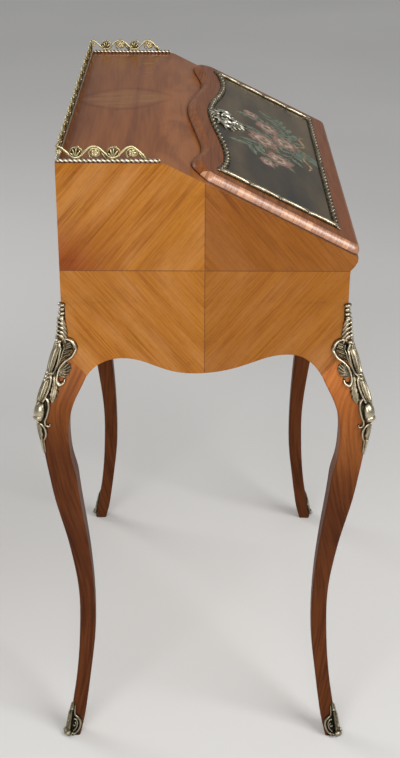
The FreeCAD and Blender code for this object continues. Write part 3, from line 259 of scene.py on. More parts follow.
# %% [markdown]
# ## Floor, backdrop and light
# The floor and the sky are plain and pale, and the floor fills the view. Far off,
# where the lamps don't reach, it glows just enough to meet the sky. The sky
# is one soft grey, bright enough to fill the shadows and to show in the brass,
# but not so bright that it washes out the polished top. Big soft lamps model the
# forms: one high in front of the desk, one behind the camera's left shoulder for
# the long highlight on the fall's rounded edge, one weak one on the far side.

# %% Floor, sky and lamps
FLOOR_REACH, GLOW_FROM, GLOW_OVER = 40.0, 1.5, 4.0
floor_mesh = bpy.data.meshes.new("floor")
floor_form = bmesh.new()
quarters = (-1, -1), (1, -1), (1, 1), (-1, 1)
floor_form.faces.new([
    floor_form.verts.new((x * FLOOR_REACH, y * FLOOR_REACH, 0)) for x, y in quarters])
floor_form.to_mesh(floor_mesh)
floor_form.free()
floor = bpy.data.objects.new("floor", floor_mesh)
bpy.context.scene.collection.objects.link(floor)
pale = Finish("pale_floor")
cloudy = pale.noise(pale.place, scale=0.8, detail=2.0)
floor_colour = pale.ramp(cloudy, [(0.3, (0.74, 0.73, 0.71)), (0.7, (0.80, 0.79, 0.77))])
far_off = (((pale.x ** 2.0 + pale.y ** 2.0) ** 0.5 - GLOW_FROM) / GLOW_OVER).held()
far_glow = pale.blend(far_off, (0.0, 0.0, 0.0), (0.062, 0.062, 0.064))
floor_mesh.materials.append(
    pale.surface(
        Base_Color=floor_colour, Roughness=0.85, Emission_Color=far_glow, Emission_Strength=1.0))

SKY_LEVEL = 0.36
world = bpy.data.worlds.new("studio")
bpy.context.scene.world = world
world.use_nodes = True
sky = world.node_tree
sky.nodes.clear()
light = sky.nodes.new("ShaderNodeBackground")
light.inputs["Strength"].default_value = SKY_LEVEL
sky_out = sky.nodes.new("ShaderNodeOutputWorld")
sky.links.new(light.outputs[0], sky_out.inputs[0])


def lamp(name, place, aim, width, height, power):
    """A soft rectangular lamp turned towards a point."""
    data = bpy.data.lights.new(name, "AREA")
    data.shape = "RECTANGLE"
    data.size, data.size_y, data.energy = width, height, power
    made = bpy.data.objects.new(name, data)
    made.location = place
    made.rotation_euler = (Vector(aim) - Vector(place)).to_track_quat("-Z", "Y").to_euler()
    bpy.context.scene.collection.objects.link(made)


lamp("key", (-1.6, -1.9, 2.6), (0, 0, 0.75), 1.6, 1.6, 56)
lamp("window", (-3.0, 0.7, 2.1), (0, 0, 0.7), 2.2, 2.2, 56)
lamp("far_side", (1.7, 2.4, 2.2), (0, 0, 0.6), 1.5, 1.5, 26)
bpy.context.scene.view_settings.view_transform = "Standard"
print("floor, sky and three lamps")

# %% [markdown]
# ## Straight-grained veneer
# Tulipwood and kingwood veneers are cut so that their dark and pale bands run
# straight. Noise stretched a hundredfold along the grain gives such bands at any
# width: broad ones for the growth rings, fine ones for the pores. The same three
# noises serve every wood here, each with its own colours and direction.

# %% Grain
BROAD, FINE = 75, 560


def grain(finish, along, across, depth=0.0, width=1.0, fineness=0.6):
    """Figure of a straight-grained wood: 0 in its dark lines, 1 in its pale bands."""
    drift = finish.noise((along * 5, across * 9, depth), detail=1.0)
    line = across + (drift - 0.5) * 0.006
    broad = finish.noise((along * 2.5, line * (BROAD / width), depth), roughness=0.6)
    fine = finish.noise((along * 12, line * (FINE / width), depth), detail=2.0)
    return (broad * (1 - fineness) + fine * fineness).held()


def pores(finish, along, across):
    """Short dark pores, drawn out along the grain."""
    return finish.noise((along * 90, across * 1500), detail=1.0)


def shade(colour, share):
    return tuple(channel * share for channel in colour)


def tones(pale_tone, middle_tone, dark_tone):
    """Ramp stops for a wood, from its dark lines to its pale bands."""
    return [
        (0.30, dark_tone), (0.44, middle_tone), (0.56, pale_tone), (0.72, shade(pale_tone, 1.12))]


GOLD_MIDDLE = (0.325, 0.107, 0.010)
GOLD = tones((0.405, 0.150, 0.016), GOLD_MIDDLE, (0.225, 0.065, 0.006))
HAZE, AMBER = (0.50, 0.220, 0.066), (0.42, 0.158, 0.006)
# Painted light and shade for the legs: a shaded red brown, and a lit warm gold for the knees.
SHADED_LEG_BROWN = tones((0.118, 0.034, 0.009), (0.082, 0.022, 0.006), (0.046, 0.012, 0.004))
LIT_KNEE_GOLD = tones((0.50, 0.168, 0.042), (0.425, 0.134, 0.031), (0.32, 0.094, 0.022))
print("grain: bands about", round(1 / BROAD / MM), "mm wide")

# %% [markdown]
# ## Quarter-matched sides
# Each side of the case is faced with four leaves of veneer that meet in a cross,
# their grain slanting so that it draws concentric diamonds. Taking the distance
# from each joint as a positive number folds all four quarters onto one, so one
# slanting grain gives the whole diamond. The quarters in front are painted darker,
# a painted shade for grain that leans away from the light. Polish fills the pores,
# so the bump is very shallow.

# %% Case veneer
JOINT_LEVEL = 797.5 * MM
UPRIGHT_HALF, LEVEL_HALF = 0.6 * MM, 0.7 * MM
SLANT = math.radians(50)
LIPPING, LIPPING_FROM = (0.270, 0.095, 0.022), half_width - 3 * MM
# Strength of a darker red zone just above the joint: full on the sides, faint on the front and
# back.
SIDE_REDDENING, FRONT_REDDENING = 0.85, 0.15


def matched_colour(wood, run, reddening=SIDE_REDDENING):
    """Veneer folded about run = 0 and the joint: its colour, pores, joints and patches."""
    aside, above = abs(run), abs(wood.z - JOINT_LEVEL)
    across = aside * math.sin(SLANT) + above * math.cos(SLANT)
    along = aside * math.cos(SLANT) - above * math.sin(SLANT)
    upper, ahead = wood.z > JOINT_LEVEL, run < 0.0
    leaf_of = upper * 0.31 + ahead * 0.17
    figure = grain(wood, along, across, leaf_of, fineness=0.72)
    patch = wood.noise((wood.x * 5, wood.y * 5, wood.z * 5), detail=2.0)
    clouds = wood.noise((along * 7, across * 30, leaf_of))
    # A darker, redder zone just above the joint that grows towards the far end of the run; it is
    # used only in the upper quarter where run is positive.
    reddened_zone = (1.2 - (wood.z - JOINT_LEVEL) * 14).held() * ((run - 0.120) * 13 + patch * 0.6).held()
    pore = pores(wood, along, across)
    joint = 1 - ((aside < UPRIGHT_HALF) + (above < LEVEL_HALF)).held() * 0.72
    colour = wood.glazed(
        wood.ramp(figure, GOLD), ((clouds * 4.0 - 1.80).held() * 0.60, HAZE),
        ((1.60 - clouds * 3.6).held() * 0.75, (0.66, 0.54, 0.34), "MULTIPLY"),
        ((patch * 2.6 - 1.15).held() * 0.50, AMBER),
        # Painted shade: the quarters where run is below 0 (the front ones on the sides), the upper
        # ones more, are darkened because their grain leans away from the light.
        ((ahead * (upper * 0.36 + 0.48)).held(), (0.60, 0.50, 0.42), "MULTIPLY"),
        (reddened_zone * upper * (1 - ahead) * reddening, (0.52, 0.22, 0.08), "MULTIPLY"),
        (((pore - 0.53) * 4.0).held() * 0.55, (0.50, 0.42, 0.36), "MULTIPLY"))
    return wood.blend(joint, (0.13, 0.045, 0.015), colour), pore, joint, patch


def matched_veneer(name, run_axis, reddening):
    """The matched veneer as a finish. Edges inside the sides' outer faces show a plain lipping."""
    wood = Finish(name)
    colour, pore, joint, patch = matched_colour(wood, getattr(wood, run_axis), reddening)
    if run_axis == "y":
        colour = wood.blend(abs(wood.x) > LIPPING_FROM, LIPPING, colour)
    return wood.surface(
        Base_Color=colour, Roughness=0.34 + patch * 0.10, Coat_Weight=0.06, Coat_Roughness=0.22,
        Normal=wood.bump(pore * 0.5 + joint * 1.2, 0.06 * MM), Specular_IOR_Level=0.20)


side_veneer = matched_veneer("quarter_matched_side", "y", SIDE_REDDENING)
front_veneer = matched_veneer("quarter_matched_front", "x", FRONT_REDDENING)
dress(["side_panel_left", "side_panel_right"], side_veneer)
dress(["back_panel", "front_frame", "drawer_front"], front_veneer)

# %% [markdown]
# ## Legs
# The legs are solid wood, with the grain running up the leg. Their colour is a lit
# and a shaded copy of one wood: at the knees, and more on the front legs, a painted
# light gives them the warm gold of the case; lower down and on the back legs a deep
# red brown stays, as painted shade. Across the grain, a mixture of X and Y keeps the lines apart on
# all four faces.

# %% Leg wood
leg_wood = Finish("leg_wood")
leg_figure = grain(leg_wood, leg_wood.z, leg_wood.x * 0.8 + leg_wood.y * 0.6, width=1.6)
leg_pore = pores(leg_wood, leg_wood.z, leg_wood.x + leg_wood.y * 0.7)
leg_dark = leg_wood.noise(leg_wood.place, scale=9.0, detail=2.0)
# Painted light: the knees, more on the front legs, take the lit gold tone, which fades down the leg
# and towards the back into the shaded red brown.
painted_knee_light = ((leg_wood.z - 0.46) * 4.5 - leg_wood.y * 1.0).held() ** 1.5
leg_tone = leg_wood.glazed(
    leg_wood.ramp(leg_figure, SHADED_LEG_BROWN), (painted_knee_light, leg_wood.ramp(leg_figure, LIT_KNEE_GOLD)),
    (((leg_pore - 0.56) * 3.0).held() * 0.6, (0.4, 0.32, 0.28), "MULTIPLY"),
    ((leg_dark * 1.8 - 0.7).held(), (0.62, 0.52, 0.48), "MULTIPLY"))
leg_material = leg_wood.surface(
    Base_Color=leg_tone, Roughness=0.34 + leg_dark * 0.16, Coat_Weight=0.02, Coat_Roughness=0.2,
    Normal=leg_wood.bump(leg_pore, 0.06 * MM), Specular_IOR_Level=0.07)
dress([name for name in nodes if name.startswith("leg_")], leg_material)

# %% [markdown]
# ## Polished top
# The top is laid in wide leaves with their grain along the desk's width, edged
# at the back by a border; a pale lens with a faint rim lies in the middle, where
# the leaf was cut through the heart of a curl, and the sloping part in front is
# flamed. It is french polished, so a clear coat over the wood carries the
# reflection while the wood under it stays soft.

# %% Top veneer
BORDER_JOINT, MIDDLE_JOINT = 186 * MM, 105 * MM
TOP_PALE, TOP_MIDDLE, TOP_DARK = (0.275, 0.090, 0.021), (0.222, 0.066, 0.014), (0.150, 0.040, 0.008)
HEART_X, HEART_Y = 12 * MM, 124 * MM
HEART_PALE, FLAME = (0.30, 0.135, 0.045), (0.42, 0.150, 0.038)
EDGE = 0.3 * MM


def polished_top(name, light_share, edged):
    """Reddish veneer with its grain along X; an edged board has the case's veneer on its edges."""
    wood = Finish(name)
    swirl = wood.noise((wood.x * 3.2, wood.y * 7, wood.z * 7), detail=1.0)
    aslant = wood.x - HEART_X + (wood.y - HEART_Y) * 0.12
    heart = abs(aslant / 0.050) + ((wood.y - HEART_Y) / 0.070) ** 2.0 + (swirl - 0.5) * 0.5
    figure = grain(wood, wood.x, wood.y + (swirl - 0.5) * 0.03, width=2.4, fineness=0.30)
    curl = wood.noise((aslant * 70, wood.y * 9), detail=2.0)
    flame = wood.noise((wood.x * 9, wood.y * 26, swirl), distortion=1.2)
    on_slope = (1 - (wood.y - BREAK_Y) / 0.02).held()
    pale_tone, middle_tone, dark_tone, heart_tone, flame_tone = (
        shade(tone, light_share) for tone in (TOP_PALE, TOP_MIDDLE, TOP_DARK, HEART_PALE, FLAME))
    stains = [
        ((1 - abs(wood.y - joint_y) / 0.008).held() * 0.55, (0.66, 0.50, 0.42), "MULTIPLY")
        for joint_y in (BORDER_JOINT, MIDDLE_JOINT)]
    joint = ((abs(wood.y - BORDER_JOINT) < 0.0005) + (abs(wood.y - MIDDLE_JOINT) < 0.0004)).held()
    colour = wood.glazed(
        wood.ramp(figure, tones(pale_tone, middle_tone, dark_tone)),
        (((1.15 - heart) * 2).held() * (curl * 3.6 - 1.15).held() * 0.85, heart_tone),
        (
            (1 - abs(heart - 1.22) * 4.0).held() * (curl * 2.2 - 0.35).held() * 0.50,
            shade(dark_tone, 0.7)),
        *stains, (on_slope * ((flame - 0.42) * 5).held() * 0.45, flame_tone),
        ((wood.y > BORDER_JOINT) * 0.25, (0.50, 0.42, 0.40), "MULTIPLY"),
        (joint * 0.22, (0.09, 0.030, 0.014)))
    if edged:
        at_side = abs(wood.x) > half_width - EDGE
        at_back = wood.y > half_depth - EDGE
        run = at_side * wood.y + (1 - at_side) * wood.x
        colour = wood.blend((at_side + at_back).held(), colour, matched_colour(wood, run)[0])
    return wood.surface(
        Base_Color=colour, Roughness=0.24 + swirl * 0.10, Coat_Weight=0.19, Coat_Roughness=0.07,
        Normal=wood.bump(pores(wood, wood.x, wood.y), 0.03 * MM), Specular_IOR_Level=0.1)


dress(["top_board"], polished_top("polished_top", 1.0, True))
dress(["writing_deck"], polished_top("polished_deck", 1.15, False))

# %% [markdown]
# ## The fall's border and its crossbanding
# Flat, the fall is veneered like the top. Its rounded edge is crossbanded: short
# pieces of striped veneer laid side by side, so the edge shows a rung every
# centimetre, strongly at the sides and faintly along the serpentine top. How far
# a point stands off the slope tells flat from rounded, and the rungs follow the
# slope at the sides and the width along the top and foot.

# %% Fall veneer
ROUNDING = 10.5 * MM
RUNG = 9.5 * MM
FOOT_INSET, SIDE_LEAN = 4 * MM, 0.033
# Height of the painted shadow line along the fall's lower edge, and of its inner face.
PAINTED_SHADOW_LINE, INNER_FACE = 1.7 * MM, 0.2 * MM


def slope_place(finish):
    """How far up the fall's slope a point lies, and how far off its underside."""
    rise, back = finish.z - hinge.z, finish.y - hinge.y
    return back * ALONG.y + rise * ALONG.z, back * OFF.y + rise * OFF.z


fall_wood = Finish("fall_veneer")
up_slope, off_slope = slope_place(fall_wood)
fall_swirl = fall_wood.noise((fall_wood.x * 3, up_slope * 8), detail=1.0)
fall_figure = grain(fall_wood, fall_wood.x, up_slope + (fall_swirl - 0.5) * 0.04, width=1.5)
side_line = (half_width - FOOT_INSET) - up_slope * SIDE_LEAN
at_side = abs(fall_wood.x) > side_line - (ROUNDING + 0.5 * MM)
ladder = at_side * up_slope + (1 - at_side) * fall_wood.x
rung_place = ladder / RUNG
rung_tone = fall_wood.noise((rung_place.floor() * 7.3, at_side * 3.1), detail=0.0)
streak = fall_wood.noise((ladder * 900, off_slope * 60), detail=2.0)
seam = abs(rung_place.fraction() - 0.5) > 0.47
rung_colour = fall_wood.blend(
    seam * 0.65,
    fall_wood.ramp(
        rung_tone * 0.5 + streak * 0.5,
        [
            (0.34, (0.15, 0.048, 0.020)), (0.45, (0.34, 0.125, 0.048)), (0.56, (0.52, 0.22, 0.085)),
            (0.68, (0.64, 0.32, 0.15))]),
    (0.10, 0.03, 0.012))
rounded = (off_slope < FALL_THICKNESS - 0.2 * MM) * (off_slope > 0.4 * MM)
crossbanded = rounded * (at_side * 0.82 + 0.18)
inner_face = off_slope < INNER_FACE
fall_colour = fall_wood.glazed(
    fall_wood.ramp(
        fall_figure, tones((0.225, 0.068, 0.015), (0.170, 0.047, 0.010), (0.105, 0.028, 0.006))),
    (crossbanded, rung_colour),
    # Painted shadow: the lowest 1.7 mm off the slope, apart from the underside itself, is painted
    # near black where the fall meets the case.
    ((off_slope < PAINTED_SHADOW_LINE) * (1 - inner_face) * 0.9, (0.020, 0.009, 0.005)),
    (
        inner_face,
        fall_wood.ramp(
            fall_figure, tones((0.36, 0.125, 0.032), (0.28, 0.088, 0.022), (0.18, 0.052, 0.013)))))
fall_height = ((1 - seam) + rung_tone * 2.0) * crossbanded + streak * 0.3
fall_material = fall_wood.surface(
    Base_Color=fall_colour, Roughness=0.24 + fall_swirl * 0.08, Coat_Roughness=0.40, Coat_IOR=2.1,
    Coat_Weight=(rounded * at_side * 0.90 + 0.10), Specular_IOR_Level=0.08,
    Normal=fall_wood.bump(fall_height, 0.12 * MM))
dress(["fall_board"], fall_material)

# %% [markdown]
# ## The picture panel's ground
# The panel let into the fall is painted dark and varnished. Under the varnish the
# ground shifts slowly from umber to a colder black, laid on in wide bands, with
# a fine craquelure that the eye reads only as a dull shimmer.

# %% Picture ground
ground = Finish("varnished_picture_ground")
ground_along = slope_place(ground)[0]
haze = ground.noise((ground.x * 4, ground_along * 14))
bands = ground.noise((ground.x * 1.2, ground_along * 26, 0.5), detail=1.0)
warmth = (haze * 0.75 + bands * 0.40 + ground.x * 0.35 - abs(ground_along - 0.12) * 1.2).held()
ground_tone = ground.ramp(
    warmth,
    [(0.26, (0.016, 0.015, 0.016)), (0.46, (0.050, 0.038, 0.022)), (0.66, (0.135, 0.096, 0.050))])
craquelure = ground.cells(420.0)
ground_material = ground.surface(
    Base_Color=ground_tone, Roughness=0.34 + haze * 0.15, Coat_Weight=0.28, Coat_Roughness=0.14,
    Normal=ground.bump(craquelure, 0.00005), Specular_IOR_Level=0.12)
dress(["fall_picture_panel"], ground_material)

# %% [markdown]
# ## Plain woods inside
# Drawer sides, guides, lopers and housings are oak, only waxed: paler, with open
# pores and no coat. The lopers' front ends are faced like the case.

# %% Oak and nest wood
oak = Finish("waxed_oak")
oak_figure = grain(oak, oak.y, oak.x + oak.z * 0.9, width=1.3)
oak_tone = oak.ramp(oak_figure, tones((0.50, 0.34, 0.19), (0.40, 0.26, 0.13), (0.27, 0.16, 0.075)))
loper_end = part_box("loper_left")[0][1] + 0.8 * MM
oak_tone = oak.blend((oak.y < loper_end) * 0.9, oak_tone, GOLD_MIDDLE)
oak_pore = pores(oak, oak.y, oak.x + oak.z)
oak_material = oak.surface(
    Base_Color=oak_tone, Roughness=0.5 + oak_pore * 0.15, Normal=oak.bump(oak_pore, 0.00015))
dress(
    [
        "dust_board", "drawer_guides", "loper_housings", "drawer_sides", "drawer_bottom",
        "drawer_back", "loper_left", "loper_right"],
    oak_material)

nest_wood = Finish("nest_veneer")
nest_figure = grain(nest_wood, nest_wood.x, nest_wood.z + nest_wood.y * 0.5)
nest_tone = nest_wood.ramp(
    nest_figure, tones((0.42, 0.18, 0.06), (0.33, 0.125, 0.04), (0.20, 0.07, 0.022)))
nest_material = nest_wood.surface(
    Base_Color=nest_tone, Roughness=0.34 + nest_figure * 0.1, Coat_Weight=0.2, Coat_Roughness=0.25,
    Normal=nest_wood.bump(nest_figure, 0.00006))
dress(["nest_shelf", "nest_dividers", "small_drawer_left", "small_drawer_right"], nest_material)

# %% [markdown]
# ## Gilt brass and steel
# Old gilt brass is bright where hands rub it and dark in its hollows. The castings
# made further down carry, at every vertex, how deep it lies; that depth and a
# noise for the tarnish's patches choose the colour, and roughness follows them.

# %% Metals
def cast_metal(name, bright, middle, dark, rough):
    metal = Finish(name)
    patch = metal.noise(metal.place, scale=95.0)
    speck = metal.noise(metal.place, scale=900.0, detail=2.0)
    clean = (patch * 0.5 + speck * 0.3 + 0.30 - metal.hollow() * 0.55).held()
    tone = metal.ramp(clean, [(0.24, dark), (0.46, middle), (0.64, bright)])
    return metal.surface(
        Base_Color=tone, Metallic=1.0, Roughness=rough + (1 - clean) * 0.30,
        Normal=metal.bump(speck, 0.12 * MM))


# Aged gilt: its own dull patina, with the tones darkened further as painted shade for the dark
# surroundings it reflects.
gilt = cast_metal(
    "aged_gilt_brass", (0.54, 0.475, 0.345), (0.235, 0.190, 0.118), (0.030, 0.024, 0.015), 0.20)
scroll_brass = cast_metal(
    "olive_gilt_brass", (0.58, 0.50, 0.28), (0.27, 0.22, 0.10), (0.045, 0.034, 0.014), 0.24)
# The keyhole plate's brass: its own colour, made paler and whiter as a painted glare.
shell_brass = cast_metal(
    "bright_shell_brass", (0.80, 0.77, 0.66), (0.46, 0.43, 0.33), (0.060, 0.054, 0.040), 0.20)
rope_brass = cast_metal(
    "bright_brass", (0.92, 0.87, 0.75), (0.62, 0.54, 0.38), (0.20, 0.155, 0.085), 0.16)
# A darker, more olive brass for the sabots.
dark_sabot_metal = cast_metal(
    "dulled_sabot_brass", (0.38, 0.34, 0.24), (0.130, 0.108, 0.066), (0.018, 0.015, 0.010), 0.22)
handle_brass = cast_metal(
    "handle_brass", (0.66, 0.53, 0.29), (0.40, 0.30, 0.145), (0.09, 0.062, 0.026), 0.24)
plate_brass = cast_metal(
    "plain_plate_brass", (0.50, 0.40, 0.22), (0.40, 0.31, 0.16), (0.24, 0.18, 0.09), 0.38)
steel = cast_metal("lock_steel", (0.36, 0.35, 0.33), (0.28, 0.27, 0.25), (0.16, 0.15, 0.14), 0.42)
dress(
    [
        "drawer_escutcheon", "drawer_handle_posts", "drawer_bail_left", "drawer_bail_right",
        "loper_knob_left", "loper_knob_right", "small_knob_left", "small_knob_right"],
    handle_brass)
dress(["hinge_leaves_deck", "hinge_leaves_fall"], plate_brass)
dress(
    [
        "hinge_pins", "hinge_screws_deck", "hinge_screws_fall", "fall_lock_bolt", "fall_lock_case",
        "fall_lock_staple", "drawer_lock"],
    steel)

# %% [markdown]
# ## Leather
# The writing surfaces are green leather: a fine pebble of cells, darker in some
# patches than in others, with a gold line tooled near its edge.

# %% Writing leather
LINE_INSET, LINE_WIDTH = 9 * MM, 1.2 * MM
leather_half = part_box("deck_leather")[1][0]


def tooled_leather(node, low, high, run):
    """Green leather with a gilt line round it; run picks the coordinate up the piece."""
    hide = Finish(node + "_finish")
    place, aside = run(hide), leather_half - abs(hide.x)
    patch = hide.noise(hide.place, scale=14.0)
    tone = hide.ramp(patch, [(0.3, (0.030, 0.060, 0.026)), (0.7, (0.060, 0.105, 0.048))])
    edge = aside.join("MINIMUM", aside, place - low)
    edge = edge.join("MINIMUM", edge, high - place)
    line = abs(edge - LINE_INSET) < LINE_WIDTH / 2
    dress(
        [node],
        hide.surface(
            Base_Color=hide.blend(line, tone, (0.50, 0.36, 0.12)), Roughness=0.45 + patch * 0.15,
            Metallic=line * 0.7, Normal=hide.bump(hide.cells(700.0) - line * 0.5, 0.2 * MM)))


tooled_leather(
    "deck_leather", *(corner[1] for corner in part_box("deck_leather")), lambda hide: hide.y)
tooled_leather(
    "fall_leather", *((Vector(corner) - hinge).dot(ALONG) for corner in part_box("fall_leather")),
    lambda hide: slope_place(hide)[0])

# %% [markdown]
# ## Casting brass in code
# A chased mount is a handful of strokes: scrolls, reeds and leaves that swell and
# taper as they run. Each stroke is swept along a curve that is drawn flat, on a
# bed, and the bed bends it onto the desk: round a leg's corner, onto the slope of
# the fall. Every vertex also keeps how deep it lies in the relief, so that the
# brass can be dark in its hollows and bright on its ridges.

# %% Curves and sections
def between(a, b, c, d, t):
    """A Catmull-Rom curve from b to c, at t."""
    square, cube = 2 * a - 5 * b + 4 * c - d, 3 * b - a - 3 * c + d
    return 0.5 * (2 * b + (c - a) * t + square * t * t + cube * t ** 3)


def smooth(rows, steps):
    """A smooth run through rows of numbers."""
    last = len(rows) - 1
    run = []
    for index in range(last):
        four = (rows[max(index - 1, 0)], rows[index], rows[index + 1], rows[min(index + 2, last)])
        for step in range(steps):
            run.append(tuple(between(*values, step / steps) for values in zip(*four)))
    run.append(tuple(rows[-1]))
    return run


def section(rule, count):
    """Points (side, height) across a stroke, from a rule for the height."""
    sides = [2 * index / (count - 1) - 1 for index in range(count)]
    return [(side, rule(side)) for side in sides]


def arch(side):
    return math.sqrt(max(1 - side * side, 0.0))


def leaf(side):
    """Two swelling halves and a rib."""
    halves = 0.30 + 0.34 * abs(math.sin(math.pi * side))
    return 0.12 + arch(side) ** 0.5 * halves + 0.24 * max(1 - abs(side) * 6, 0)


ROUND = [
    (math.sin(math.radians(turn)), math.cos(math.radians(turn))) for turn in range(-90, 91, 20)]
UNDERLAY = [(1, 0.05), (0.9, 0.14), (-0.9, 0.14), (-1, 0.05)]
REEDS = section(lambda s: arch(s) * (0.42 + 0.58 * abs(math.cos(1.5 * math.pi * s))), 19)
LEAF = section(leaf, 17)
DISH = section(lambda s: arch(s) ** 0.4 * (0.25 + 0.75 * abs(s) ** 1.6), 13)
print("sections:", len(ROUND), len(REEDS), len(LEAF), len(DISH), "points")

# %% A casting
SINK, THINNEST = 0.25 * MM, 0.12 * MM


class Casting:
    """Strokes, domes and rods gathered into one mesh, laid on a bed."""

    def __init__(self, bed):
        self.bed = bed
        self.form = bmesh.new()
        self.hollow = self.form.verts.layers.float.new("hollow")

    def corner(self, place, hollow):
        vertex = self.form.verts.new(place)
        vertex[self.hollow] = hollow
        return vertex

    def skin(self, rings):
        """Faces between rings of equal length, and over both ends."""
        for first, second in zip(rings, rings[1:]):
            for index in range(len(first)):
                after = (index + 1) % len(first)
                self.form.faces.new((first[index], first[after], second[after], second[index]))
        self.form.faces.new(rings[0][::-1])
        self.form.faces.new(rings[-1])

    def stroke(self, profile, *rows, steps=5, lobes=0, cut=0.0, flip=1):
        """Sweep a profile through rows of (across, along, half width, height), in millimetres."""
        run = smooth([tuple(value * MM for value in row) for row in rows], steps)
        rings = []
        for index, (across, along, half, height) in enumerate(run):
            before, after = run[max(index - 1, 0)], run[min(index + 1, len(run) - 1)]
            step_across, step_along = after[0] - before[0], after[1] - before[1]
            span = math.hypot(step_across, step_along) or 1.0
            side_across, side_along = -step_along / span, step_across / span
            if lobes:
                wave = math.cos(2 * math.pi * lobes * index / (len(run) - 1))
                half *= 1 - cut * (0.5 + 0.5 * wave)
            half = max(half, THINNEST)
            under = [(0.8, -SINK / height), (-0.8, -SINK / height)]
            rings.append([
                self.corner(
                    self.bed(
                        flip * (across + side_across * side * half),
                        along + side_along * side * half, share * height),
                    1 - max(share, 0))
                for side, share in profile + under])
        self.skin(rings)

    def pair(self, profile, *rows, **how):
        """A stroke and its mirror image."""
        for flip in (1, -1):
            self.stroke(profile, *rows, flip=flip, **how)

    def dome(self, across, along, wide, tall, height, around=16):
        """A boss: half an ellipsoid, in millimetres."""
        rings = []
        for turn in range(0, 91, 15):
            out = max(math.cos(math.radians(turn)), 0.03)
            up = math.sin(math.radians(turn))
            off = height * up * MM if turn else -SINK
            ring = []
            for index in range(around):
                angle = 2 * math.pi * index / around
                ring.append(
                    self.corner(
                        self.bed(
                            (across + wide * out * math.cos(angle)) * MM,
                            (along + tall * out * math.sin(angle)) * MM, off),
                        1 - up))
            rings.append(ring)
        self.skin(rings)

    def rod(self, places, radii, around=8, twist=0.0, lobes=0, cut=0.0):
        """A rod through places in space; lobes that twist along it make a rope."""
        rings = []
        for index, (place, radius) in enumerate(zip(places, radii)):
            heading = places[min(index + 1, len(places) - 1)] - places[max(index - 1, 0)]
            heading.normalize()
            side = heading.cross(UP if abs(heading.z) < 0.9 else Vector((1, 0, 0))).normalized()
            over = side.cross(heading)
            ring = []
            for turn in range(around):
                angle = 2 * math.pi * turn / around
                ridge = 0.5 + 0.5 * math.cos(lobes * angle + twist * index) if lobes else 1.0
                reach = radius * (1 - cut * (1 - ridge))
                out = side * math.cos(angle) + over * math.sin(angle)
                ring.append(self.corner(place + out * reach, 1 - ridge))
            rings.append(ring)
        self.skin(rings)

    def piece(self, name, body, finish, *replaced, slot="gilt_brass"):
        """The finished object, riding on its body."""
        bmesh.ops.recalc_face_normals(self.form, faces=self.form.faces)
        mesh = bpy.data.meshes.new(name)
        self.form.to_mesh(mesh)
        self.form.free()
        for face in mesh.polygons:
            face.use_smooth = True
        mesh.materials.append(finish)
        made = bpy.data.objects.new(name, mesh)
        bpy.context.scene.collection.objects.link(made)
        if replaced:
            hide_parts(*replaced)
        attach(made, body)
        print(name, len(mesh.polygons), "faces")


def spiral(across, along, radius, turns, begin, wide, tall):
    """Rows for a scroll that winds inwards; begin is in degrees, turns may be negative."""
    count = max(int(abs(turns) * 8), 4)
    rows = []
    for index in range(count + 1):
        share = index / count
        angle = math.radians(begin + 360 * turns * share)
        reach = radius * (1 - 0.82 * share)
        rows.append((
            across + reach * math.cos(angle), along + reach * math.sin(angle),
            wide * (1 - 0.35 * share), tall * (1 + 0.25 * share)))
    return rows


def with_section(places, halves, heights):
    """Rows of a stroke from its places, half widths and heights."""
    return [(*place, half, height) for place, half, height in zip(places, halves, heights)]


# %% [markdown]
# ## Gallery
# A rail of twisted rope carries openwork: one thin band that waves up and down,
# with a flower and a tendril round it under every crest, and a fan of leaves in
# every cup. At the front the band falls to the rail. Rods suit it better than
# strokes, because it is seen from both sides.

# %% Gallery
ROPE_RADIUS, ROPE_TURN = 2.9 * MM, 6.3 * MM
WAVE, CREST, CUP = 49.7 * MM, 22.6 * MM, 7.0 * MM
BAND, BARE_END = 1.5 * MM, 19 * MM
RAIL_INSET = 3.0 * MM
TENDRIL_STEPS = 18
LEAF_STEPS = (0, 0.25, 0.5, 0.75, 1)
gallery_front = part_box("gallery_left")[0][1]


def wave_height(run):
    return (CREST + CUP) / 2 + (CREST - CUP) / 2 * math.cos(2 * math.pi * run / WAVE)


def rosette(casting, at, radius, facing):
    """Five petals round a bead, the same on both faces."""
    right = UP.cross(facing).normalized()
    for side in (1, -1):
        for petal in range(6):
            angle = 2 * math.pi * petal / 5
            reach, size, swell = (0.0, 0.34, 0.5) if petal == 5 else (0.62, 0.46, 0.32)
            out = right * math.cos(angle) + UP * math.sin(angle)
            centre, tip = at + out * reach * radius, facing * side * swell * radius
            casting.rod(
                [centre + tip * share for share in (-0.4, 0.5, 0.9, 1)],
                [size * radius * share for share in (1, 1, 0.7, 0.15)])


def leaf_rod(casting, root, tip, radii, cut):
    """A veined leaf from its root to its tip; radii in millimetres."""
    casting.rod(
        [root.lerp(tip, share) for share in LEAF_STEPS], [radius * MM for radius in radii], lobes=4,
        cut=cut)


